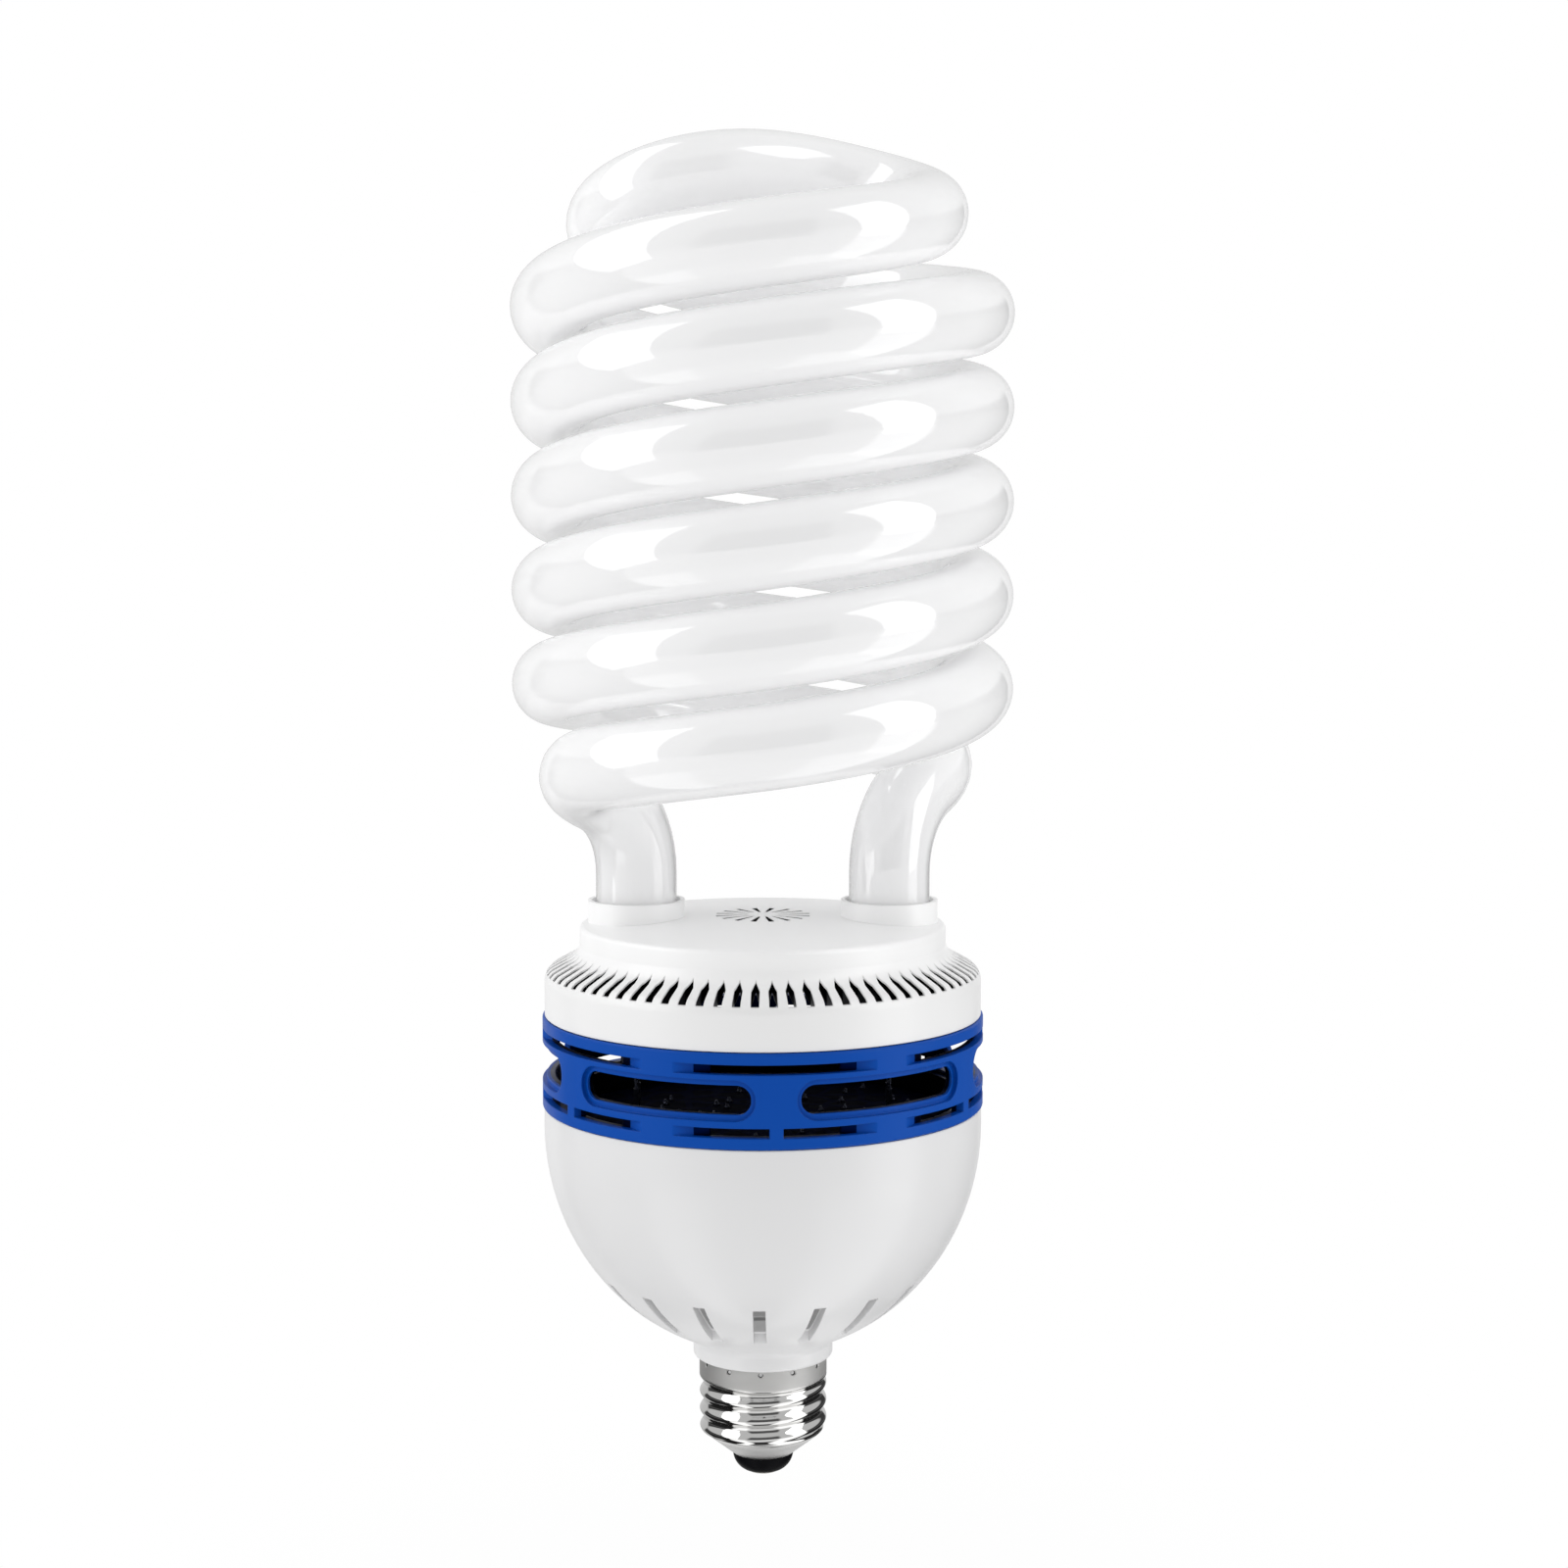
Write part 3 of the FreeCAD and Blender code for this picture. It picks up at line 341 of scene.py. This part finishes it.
def ferrite_core():
    m = Mat("ferrite", (0.03, 0.03, 0.032), 0.55)
    m.colour(m.tint(m.noise(900, 4), (0.02, 0.02, 0.022), (0.05, 0.05, 0.053)))
    return m.edge(0.3 * MM).bump(m.noise(1800, 3), 0.02 * MM, 0.6)


def copper_winding():
    """Enamelled wire: the turns are fine bands, one above the other; the colour is darker in the grooves and
    lighter on the crests, painted shade and painted highlight.
    """
    m = Mat("copper_winding", (0.45, 0.16, 0.06), 0.32, 0.85)
    turns = m.node("ShaderNodeTexWave", wave_type="BANDS", bands_direction="Z")
    turns.inputs["Scale"].default_value = 900
    turns.inputs["Distortion"].default_value = 0.4
    m.link(m.coords, turns.inputs["Vector"])
    # Painted shade in the grooves between turns and painted highlight on their crests
    m.colour(m.tint(turns.outputs["Fac"], (0.20, 0.06, 0.02), (0.55, 0.20, 0.08)))
    return m.bump(turns.outputs["Fac"], 0.1 * MM, 0.8)


def board_laminate():
    """Dark lacquer over tracks, which stand out along the edges of uneven fields."""
    m = Mat("board_laminate", (0.03, 0.05, 0.02), 0.4, Specular_IOR_Level=0.05)
    fields = m.node("ShaderNodeTexVoronoi", feature="DISTANCE_TO_EDGE")
    fields.inputs["Scale"].default_value = 130
    m.link(m.coords, fields.inputs["Vector"])
    tracks = m.spread(fields.outputs["Distance"], 1, 0, 0.05, 0.12)
    m.colour(m.tint(tracks, (0.0004, 0.001, 0.010), (0.001, 0.003, 0.028)))
    m.rough(m.spread(m.noise(300, 3), 0.7, 0.9))
    return m.bump(tracks, 0.05 * MM, 0.6)


# Metals

def tinned_metal():
    m = Mat("tinned_metal", (0.10, 0.11, 0.15), 0.28, 1.0)
    m.rough(m.spread(m.noise(1200, 3), 0.2, 0.42))
    return m.bump(m.noise(700, 3), 0.02 * MM, 0.5)


def tinned_contact():
    m = Mat("contact_metal", (0.60, 0.58, 0.52), 0.3, 1.0)
    m.rough(m.spread(m.noise(600, 4), 0.22, 0.45))
    return m.edge(0.2 * MM).bump(m.noise(500, 4), 0.03 * MM, 0.5)


def sink_aluminium():
    """Rolled sheet: its grain runs one way."""
    m = Mat("sink_aluminium", (0.65, 0.66, 0.67), 0.35, 1.0)
    m.rough(m.spread(m.noise(500, 3, (1, 1, 12)), 0.25, 0.5))
    return m.edge(0.15 * MM).bump(m.noise(900, 2, (1, 1, 10)), 0.01 * MM, 0.5)


def nickel_plate():
    """Bright on the thread, satin on the rim band and the cone, with painted shade in the punched marks."""
    m = Mat("nickel_plate", (0.62, 0.617, 0.61), 0.09, 1.0)
    height = m.height()
    rim_band = m.spread(height, 0, 0.6, *THREAD_TO_RIM)
    cone = m.spread(height, 0.24, 0, *CONE_TO_THREAD)
    clouds = m.spread(m.noise(220, 4, (1, 1, 3)), 0.04, 0.10)
    satin = m.calc("ADD", m.calc("ADD", rim_band, cone), clouds)
    m.rough(satin)
    shade = m.blend(m.spread(satin, 0, 1, 0.12, 0.36), (0.64, 0.637, 0.63), (0.56, 0.557, 0.55))
    # Painted shade: near-black colour in the punched pits
    m.colour(m.blend(m.inside(MARK_SHADE_OUTLINE), shade, (0.02, 0.02, 0.02)))
    return m.bump(m.noise(260, 3, (1, 1, 2.5)), 0.02 * MM, 0.35)


# Glass of the tube

def coated_glass():
    """White coat under clear glass, with a painted grey edge shade that stands in for the clear glass wall
    and is strongest on the legs, and a faint painted glow (emission) over the whole tube.
    """
    # The emission is a painted glow that lightens the tube, the shade between the coils too
    m = Mat("coated_glass", (0.90, 0.90, 0.905), 0.5, Coat_Weight=1.0, Coat_Roughness=0.02, Coat_IOR=1.75,
            Specular_IOR_Level=0.0, Subsurface_Weight=0.5, Subsurface_Scale=0.01, Emission_Strength=0.10)
    m.set("Subsurface Radius", (1, 1, 1))
    m.set("Emission Color", (1, 1, 1, 1))
    # Painted edge shade: the colour greys where the surface turns away from the view, mostly on the legs
    weight = m.node("ShaderNodeLayerWeight")
    weight.inputs["Blend"].default_value = 0.5
    edge_shade = m.spread(weight.outputs["Facing"], 0.16, 1, 0.5, 0.88)
    legs = m.spread(m.height(), 0.85, 0.15, *EDGE_SHADE_LEGS_TO_COIL)
    coat = m.tint(m.noise(25, 2), (0.895, 0.895, 0.90), (0.91, 0.91, 0.915))
    return m.colour(m.blend(m.calc("MULTIPLY", edge_shade, legs), coat, (0.16, 0.16, 0.165)))


ferrite = ferrite_core()
copper = copper_winding()
board = board_laminate()
tin = tinned_metal()
contact_metal = tinned_contact()
sink = sink_aluminium()
nickel = nickel_plate()
glass = coated_glass()

DRESS = {
    "centre_contact": contact_metal, "cap_insulator": black, "lower_housing": white, "vent_ring": blue,
    "top_cover": cover_white, "tube_cement": silicone, "circuit_board": board,
    "bulk_capacitor_left": sleeve_black, "bulk_capacitor_right": sleeve_black, "choke_core": ferrite,
    "choke_bobbin": bobbin, "choke_winding": copper, "drive_core": ferrite, "transistor_left": package,
    "transistor_right": package, "heat_sink_left": sink, "heat_sink_right": sink, "resonance_capacitor": film,
    "coupling_capacitor": film, "filter_choke": copper, "rectifier_diodes": package, "resistors": lacquer,
    "fuse_resistor": lacquer, "wire_posts": tin, "filament_leads": tin, "live_wire": wire_sleeve,
    "neutral_wire": wire_sleeve, "screw_shell": nickel, "spiral_tube": glass,
}
for name, mat in DRESS.items():
    for slot in NODES[name].material_slots:
        slot.material = mat.material


def piece(name, mesh, mat, slot, *replaced):
    obj = bpy.data.objects.new(name, mesh)
    SCENE.collection.objects.link(obj)
    mesh.materials.append(mat.material)
    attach(obj, "root")
    if replaced:
        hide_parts(*replaced)


def grid_mesh(name, rows):
    """A smooth mesh through rows of points; each row is one closed ring."""
    verts = [p for row in rows for p in row]
    count = len(rows[0])
    faces = []
    for i in range(len(rows) - 1):
        for j in range(count):
            a = i * count + j
            b = i * count + (j + 1) % count
            faces.append((a, b, b + count, a + count))
    mesh = bpy.data.meshes.new(name)
    mesh.from_pydata(verts, [], faces)
    mesh.polygons.foreach_set("use_smooth", [True] * len(faces))
    mesh.update()
    return mesh


def round_ring(radius, count):
    """Cosine and sine steps of a ring, times its radius."""
    return [(radius * math.cos(TURN * j / count), radius * math.sin(TURN * j / count)) for j in range(count)]


# Glass tube: leg, double spiral and bridge swept with a fine round section, in millimetres.
# It is a hair thinner than its solid, so that it stays inside the solid's box.

TUBE_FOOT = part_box("spiral_tube")[0].z / MM
COLLAR_HEIGHT = 3.1
PLATE_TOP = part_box("top_cover")[1].z / MM - COLLAR_HEIGHT
TUBE = 8.2
TUBE_SIDES = 64
HAIR = 0.01
LEG = 25.7
LEG_RISE = 8.5
LEG_STEPS = 12
COIL = 42.3
PITCH = 37.54
COIL_BOTTOM = PLATE_TOP + 27.97
ENTRY = 0.618
LEAVE = 3.063
BRIDGE_RISE = 25.5
BRIDGE_CROWN = 47.7
BRIDGE_SWEEP = 0.501
BRIDGE_FULLNESS = 3.87
BRIDGE_STEPS = 7
KNOTS_PER_TURN = 4
ARC_STEP = 2.4
TINY = 1e-4
STRAIGHT = 1e-7


def spiral(t):
    a = TURN * t
    return Vector((COIL * math.cos(a), COIL * math.sin(a), COIL_BOTTOM + PITCH * (t - 0.5)))


def spiral_way(t):
    a = TURN * t
    return Vector((-math.sin(a), math.cos(a), PITCH / (TURN * COIL))).normalized()


def bridge(part):
    """The bridge from the end of the spiral, at 0, to the middle over the axis, at 1."""
    x = 1 - (1 - part) ** 2
    radius = COIL * math.sqrt(max(0.0, 1 - x ** BRIDGE_FULLNESS))
    start = spiral(LEAVE).z
    ease = x * x * (3 - 2 * x)
    z = start * (1 - ease) + (start + BRIDGE_RISE) * ease
    z += PITCH * BRIDGE_SWEEP * x * (1 - x) ** 2 + BRIDGE_CROWN * x * x * (x - 1)
    a = TURN * (LEAVE + x * BRIDGE_SWEEP)
    return Vector((radius * math.cos(a), radius * math.sin(a), z))


def bridge_way(part):
    if part < TINY:
        return spiral_way(LEAVE)
    if part > 1 - TINY:
        way = bridge(1) - bridge(1 - TINY)
        return Vector((way.x, way.y, 0)).normalized()
    return (bridge(part + TINY) - bridge(part - TINY)).normalized()


def two_arcs(a, way_a, b, way_b, step):
    """Points along the two arcs that leave a and reach b along the given directions."""
    gap = b - a
    both = way_a + way_b
    along = gap.dot(both)
    bend = 2 * (1 - way_a.dot(way_b))
    reach = (math.sqrt(along * along + bend * gap.dot(gap)) - along) / bend
    join = (a + way_a * reach + b - way_b * reach) * 0.5
    points = []
    for start, way, end in ((a, way_a, join), (join, (b - way_b * reach - join).normalized(), b)):
        span = end - start
        side = span - way * span.dot(way)
        if side.length < STRAIGHT:
            continue
        side.normalize()
        radius = span.dot(span) / (2 * span.dot(side))
        angle = 2 * math.atan2(span.dot(side), span.dot(way))
        count = max(2, math.ceil(radius * angle / step))
        for k in range(count):
            u = angle * k / count
            points.append(start + way * (radius * math.sin(u)) + side * (radius * (1 - math.cos(u))))
    return points


def tube_path():
    """Half the tube is laid out from its foot to the middle, and turned half round for the other half."""
    foot = Vector((-LEG, 0, TUBE_FOOT))
    knee = Vector((-LEG, 0, PLATE_TOP + LEG_RISE))
    knots = [(knee, Vector((0, 0, 1))), (spiral(ENTRY), spiral_way(ENTRY))]
    count = math.ceil((LEAVE - ENTRY) * KNOTS_PER_TURN)
    for k in range(1, count + 1):
        t = ENTRY + (LEAVE - ENTRY) * k / count
        knots.append((spiral(t), spiral_way(t)))
    for k in range(1, BRIDGE_STEPS + 1):
        knots.append((bridge(k / BRIDGE_STEPS), bridge_way(k / BRIDGE_STEPS)))
    half = [foot.lerp(knee, k / LEG_STEPS) for k in range(LEG_STEPS)]
    for (a, way_a), (b, way_b) in zip(knots[:-1], knots[1:]):
        half += two_arcs(a, way_a, b, way_b, ARC_STEP)
    half += [bridge(1)]
    return half + [Vector((-p.x, -p.y, p.z)) for p in reversed(half[:-1])]


def sweep(points, radius, count):
    """Rings square to the path, carried along it without twist."""
    rows = []
    across = Vector((1, 0, 0))
    for i, p in enumerate(points):
        way = (points[min(i + 1, len(points) - 1)] - points[max(i - 1, 0)]).normalized()
        across = (across - way * across.dot(way)).normalized()
        other = way.cross(across)
        rows.append([(p + across * u + other * v) * MM for u, v in round_ring(radius, count)])
    return rows


tube_mesh = grid_mesh("glass_tube", sweep(tube_path(), TUBE - HAIR, TUBE_SIDES))
piece("glass_tube", tube_mesh, glass, "coated_glass", "spiral_tube")

# Screw shell: pressed sheet with a helical knuckle thread, a rim band and punched marks, in millimetres

shell_low, shell_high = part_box("screw_shell")
EYELET = shell_low.z / MM
RIM_TOP = shell_high.z / MM
EYELET_RADIUS = 6.2
EYELET_TURN_IN = 0.5
EYELET_TURN_UP = 0.2
THREAD_START = 8.95
THREAD_PITCH = 3.629
THREAD_TURNS = 3
THREAD_END = THREAD_START + THREAD_TURNS * THREAD_PITCH
THREAD_LIFT = 0.3
RIM = 13.05
CREST = 13.0
WAVE = 0.425
MIDDLE = CREST - WAVE
WAVE_GROWS = (THREAD_START - 1.2, THREAD_START + 1.0)
WAVE_DIES = (THREAD_END - 1.2, THREAD_END - 0.1)
RIM_GROWS = (THREAD_END - 0.5, THREAD_END + 0.35)
MARKS = 12
MARK_START = -91.7
MARK_DROP = 0.9
MARK_WIDTH = 0.55
MARK_HEIGHT = 0.5
MARK_DEPTH = 0.8
MARK_STEEPNESS = 0.8
SHELL_SIDES = 480
CONE_ROWS = 22
THREAD_ROWS = 110
RIM_ROWS = 48


def smooth(x, a, b):
    t = min(1, max(0, (x - a) / (b - a)))
    return t * t * (3 - 2 * t)


def shell_radius(angle, z):
    """Cone, thread and rim band; the wave of the thread grows out of the cone and dies under the rim."""
    base = MIDDLE
    if z < THREAD_START:
        base = EYELET_RADIUS + (MIDDLE - EYELET_RADIUS) * (z - EYELET) / (THREAD_START - EYELET)
    grow = smooth(z, *WAVE_GROWS) * (1 - smooth(z, *WAVE_DIES))
    wave = math.cos(TURN * ((z - THREAD_LIFT) / THREAD_PITCH - angle / TURN))
    rim = smooth(z, *RIM_GROWS)
    return (base + WAVE * wave * grow) * (1 - rim) + RIM * rim


def dimple(angle, z):
    """Depth of the punched marks on the rim band; each is a small oval pit."""
    step = TURN / MARKS
    off = (angle - math.radians(MARK_START) + step / 2) % step - step / 2
    outward = (off * RIM / MARK_WIDTH) ** 2 + ((z - (RIM_TOP - MARK_DROP)) / MARK_HEIGHT) ** 2
    return MARK_DEPTH * (1 - outward) ** MARK_STEEPNESS if outward < 1 else 0.0


def shell_rows():
    turned_in = round_ring(EYELET_RADIUS - EYELET_TURN_IN, SHELL_SIDES)
    rows = [[Vector((x, y, EYELET + EYELET_TURN_UP)) * MM for x, y in turned_in]]
    levels = [EYELET + (THREAD_START - EYELET) * k / CONE_ROWS for k in range(CONE_ROWS)]
    levels += [THREAD_START + (THREAD_END - THREAD_START) * k / THREAD_ROWS for k in range(THREAD_ROWS)]
    levels += [THREAD_END + (RIM_TOP - THREAD_END) * k / RIM_ROWS for k in range(RIM_ROWS + 1)]
    for z in levels:
        row = []
        for j in range(SHELL_SIDES):
            a = TURN * j / SHELL_SIDES
            r = shell_radius(a, z) - dimple(a, z)
            row.append(Vector((r * math.cos(a), r * math.sin(a), z)) * MM)
        rows.append(row)
    return rows


piece("threaded_shell", grid_mesh("threaded_shell", shell_rows()), nickel, "nickel_shell", "screw_shell")

# Solder joints scattered on the board, in millimetres, each a small cone with the end of a lead in it

JOINTS = 48
JOINT_REACH = 38.5
JOINT_SCATTER = (0.03, 1)
JOINT_RADIUS = (0.6, 1.0)
JOINT_TIP = 0.28
JOINT_HEIGHT = 0.7
JOINT_SIDES = 12
LEAD_RADIUS = 0.3
LEAD_LENGTH = 0.9
LEAD_LIFT = 0.6
LEAD_LEAN = 0.35
LEAD_SIDES = 8


def add_cone(bm, place, sides, radius, tip, length):
    bmesh.ops.create_cone(bm, cap_ends=True, segments=sides, radius1=radius * MM, radius2=tip * MM,
                          depth=length * MM, matrix=place)


def solder_mesh():
    board_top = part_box("circuit_board")[1].z
    bm = bmesh.new()
    for _ in range(JOINTS):
        a = rng.uniform(0, TURN)
        r = JOINT_REACH * math.sqrt(rng.uniform(*JOINT_SCATTER))
        x = r * math.cos(a) * MM
        y = r * math.sin(a) * MM
        joint = Matrix.Translation((x, y, board_top + JOINT_HEIGHT / 2 * MM))
        add_cone(bm, joint, JOINT_SIDES, rng.uniform(*JOINT_RADIUS), JOINT_TIP, JOINT_HEIGHT)
        lean_x = Matrix.Rotation(rng.uniform(-LEAD_LEAN, LEAD_LEAN), 4, "X")
        lean_y = Matrix.Rotation(rng.uniform(-LEAD_LEAN, LEAD_LEAN), 4, "Y")
        lead = Matrix.Translation((x, y, board_top + LEAD_LIFT * MM)) @ (lean_x @ lean_y)
        add_cone(bm, lead, LEAD_SIDES, LEAD_RADIUS, LEAD_RADIUS, LEAD_LENGTH)
    mesh = bpy.data.meshes.new("solder_joints")
    bm.to_mesh(mesh)
    bm.free()
    mesh.polygons.foreach_set("use_smooth", [True] * len(mesh.polygons))
    return mesh


piece("solder_joints", solder_mesh(), tin, "tinned_metal")

# Studio: white floor and surroundings. Mirror rays see light and dark zones in them, by bearing:
# how far a point lies to the front for each unit that it lies to the side.

DARKEST = 0.02
FRONT_EDGE = (0.53, 0.62)
FRONT_SHIFT_RIGHT = 0.46
BACK_EDGE = (-0.9, -0.7)
CENTRE_EDGE = (1.5, 2.0)
WEDGE_START = (0.08, 0.16)
WEDGE_END = (0.68, 0.78)

# Edges of the zones on the floor, in metres, and of those in the sky, as parts of a unit direction

LINE_END = (0.06, 0.075)
UNDER_FRONT = (0.005, 0.02)
UNDER_END = (0.10, 0.14)
UNDER_SIDE = (0.04, 0.06)
WEDGE_SIDE = (0.20, 0.26)
FAR_START = (0.28, 0.36)
SEEN_START = (0.05, 0.2)
SKY_FLANK_TOP = (0.2, 0.3)
SKY_LINE_TOP = (0.6, 0.75)
SKY_FRONT = (-0.95, -0.55)
FLOOR_HEIGHT = -0.05
FLOOR_REACH = 30


class Zones(Tree):
    """The zones that the floor and the world share; x, y and z are a place or a direction."""

    def __init__(self, tree, vector):
        super().__init__(tree)
        self.x, self.y, self.z = self.apart(vector)
        self.aside = self.calc("ABSOLUTE", self.x)
        self.right = self.calc("GREATER_THAN", self.x, 0)
        self.bearing = self.calc("DIVIDE", self.calc("MULTIPLY", self.y, -1), self.aside)

    def front(self, strength):
        shifted = self.calc("ADD", self.bearing, self.calc("MULTIPLY", self.right, FRONT_SHIFT_RIGHT))
        return self.ramp(shifted, DARKEST, strength, *FRONT_EDGE)

    def centre(self):
        return self.ramp(self.bearing, 0, 1, *CENTRE_EDGE)

    def back(self, strength):
        return self.ramp(self.calc("ADD", self.bearing, self.right), strength, 0, *BACK_EDGE)

    def flank(self, front, back):
        """What is left between front and back, on both sides."""
        return self.calc("SUBTRACT", 1, self.calc("MINIMUM", 1, self.calc("ADD", front, back)))


def floor_surface(tree):
    """White for the camera, even for soft light, zoned for mirror rays."""
    plain = Tree(tree)
    rays = plain.node("ShaderNodeLightPath").outputs
    place = plain.node("ShaderNodeNewGeometry").outputs["Position"]
    length = plain.node("ShaderNodeVectorMath", operation="LENGTH")
    plain.link(place, length.inputs[0])
    away = length.outputs["Value"]
    t = Zones(tree, place)

    line = t.ramp(away, 0.57, 0, *LINE_END)
    dimmed = t.calc("MULTIPLY", t.centre(), t.calc("ADD", line, 0.4))
    front = t.calc("MULTIPLY", t.front(1.6), t.calc("SUBTRACT", 1, dimmed))
    back = t.back(0.55)
    under = t.calc("MULTIPLY", t.ramp(t.y, 0, 0.8, *UNDER_FRONT), t.ramp(away, 1, 0, *UNDER_END))
    under = t.calc("MULTIPLY", under, t.ramp(t.aside, 1, 0, *UNDER_SIDE))
    near = t.calc("ADD", front, t.calc("MAXIMUM", back, under))
    flank = t.flank(t.calc("MULTIPLY", front, 1.1), back)
    beside = t.calc("SUBTRACT", 1, t.calc("MULTIPLY", flank, 0.9))
    far = t.calc("MULTIPLY", t.ramp(away, 0, 1, *FAR_START), beside)
    near = t.calc("MULTIPLY", near, t.calc("SUBTRACT", 1, far))
    level = t.calc("ADD", near, t.calc("MULTIPLY", far, 0.8))
    wedge = t.calc("MULTIPLY", t.ramp(t.bearing, 0, 1, *WEDGE_START), t.ramp(t.bearing, 1, 0, *WEDGE_END))
    wedge = t.calc("MULTIPLY", wedge, t.ramp(t.x, 0, 1.1, *WEDGE_SIDE))

    diffuse = t.node("ShaderNodeBsdfDiffuse")
    diffuse.inputs["Color"].default_value = (0.9, 0.9, 0.9, 1)
    seen = t.calc("MULTIPLY", rays["Is Camera Ray"], t.ramp(away, 0.9, 1.0, *SEEN_START))
    surface = t.mix_shader(rays["Is Diffuse Ray"], diffuse.outputs[0], t.glow("ShaderNodeEmission", 0.98))
    surface = t.mix_shader(seen, surface, t.glow("ShaderNodeEmission", 1.0))
    mirrored = t.glow("ShaderNodeEmission", t.calc("ADD", level, wedge))
    surface = t.mix_shader(rays["Is Glossy Ray"], surface, mirrored)
    t.link(surface, t.node("ShaderNodeOutputMaterial").inputs["Surface"])


def world_surface(tree):
    """White for the camera, dimmer in front for soft light, zoned for mirror rays."""
    plain = Tree(tree)
    rays = plain.node("ShaderNodeLightPath").outputs
    t = Zones(tree, plain.node("ShaderNodeTexCoord").outputs["Generated"])
    flank = t.calc("MULTIPLY", t.flank(t.front(1), t.back(1)), t.ramp(t.z, 1, 0, *SKY_FLANK_TOP))
    line = t.calc("MULTIPLY", t.centre(), t.ramp(t.z, 1, 0, *SKY_LINE_TOP))
    dark = t.calc("MAXIMUM", flank, t.calc("MULTIPLY", line, 0.9))
    mirrored = t.glow("ShaderNodeBackground", t.calc("SUBTRACT", 0.7, t.calc("MULTIPLY", dark, 0.66)))
    soft = t.glow("ShaderNodeBackground", t.ramp(t.y, 0.70, 0.87, *SKY_FRONT))
    surface = t.mix_shader(rays["Is Glossy Ray"], soft, mirrored)
    surface = t.mix_shader(rays["Is Camera Ray"], surface, t.glow("ShaderNodeBackground", 1.0))
    t.link(surface, t.node("ShaderNodeOutputWorld").inputs["Surface"])


floor_material = bpy.data.materials.new("pale_floor")
floor_material.use_nodes = True
floor_material.node_tree.nodes.clear()
floor_surface(floor_material.node_tree)
floor_mesh = bpy.data.meshes.new("floor")
corners = [(x * FLOOR_REACH, y * FLOOR_REACH, 0) for x, y in ((-1, -1), (1, -1), (1, 1), (-1, 1))]
floor_mesh.from_pydata(corners, [], [(0, 1, 2, 3)])
floor_mesh.materials.append(floor_material)
floor = bpy.data.objects.new("floor", floor_mesh)
floor.location.z = FLOOR_HEIGHT
SCENE.collection.objects.link(floor)

world = bpy.data.worlds.new("studio")
SCENE.world = world
world.use_nodes = True
world.node_tree.nodes.clear()
world_surface(world.node_tree)


def softbox(name, place, aim, width, height, power, along=None):
    """A rectangular lamp that faces a point.

    With along, the way its height runs, it is seen in gloss only, as a streak; without, it only fills."""
    data = bpy.data.lights.new(name, "AREA")
    data.shape = "RECTANGLE"
    data.size = width
    data.size_y = height
    data.energy = power
    lamp = bpy.data.objects.new(name, data)
    lamp.location = place
    facing = (Vector(aim) - Vector(place)).normalized()
    if along:
        upward = Vector(along)
        upward = (upward - facing * upward.dot(facing)).normalized()
        lamp.rotation_euler = Matrix((upward.cross(-facing), upward, -facing)).transposed().to_euler()
    else:
        lamp.rotation_euler = facing.to_track_quat("-Z", "Y").to_euler()
    lamp.visible_glossy = bool(along)
    lamp.visible_diffuse = not along
    SCENE.collection.objects.link(lamp)


COIL_CENTRE = (0, 0, 0.2)
HOUSING_CENTRE = (0, 0, 0.1)
softbox("left_shine", (-0.543, -0.105, 0.562), COIL_CENTRE, 0.42, 1.5, 4.0, along=(0.546, 0.891, 1.076))
softbox("right_shine", (0.715, -0.31, 0.58), COIL_CENTRE, 0.45, 1.2, 3.6, along=(-0.43, 0.135, 1.18))
softbox("left_fill", (-1.1, 0.05, 0.25), HOUSING_CENTRE, 1.0, 0.6, 3.8)
softbox("right_fill", (1.1, 0.05, 0.25), HOUSING_CENTRE, 1.0, 0.6, 3.0)

SCENE.view_settings.view_transform = "Standard"
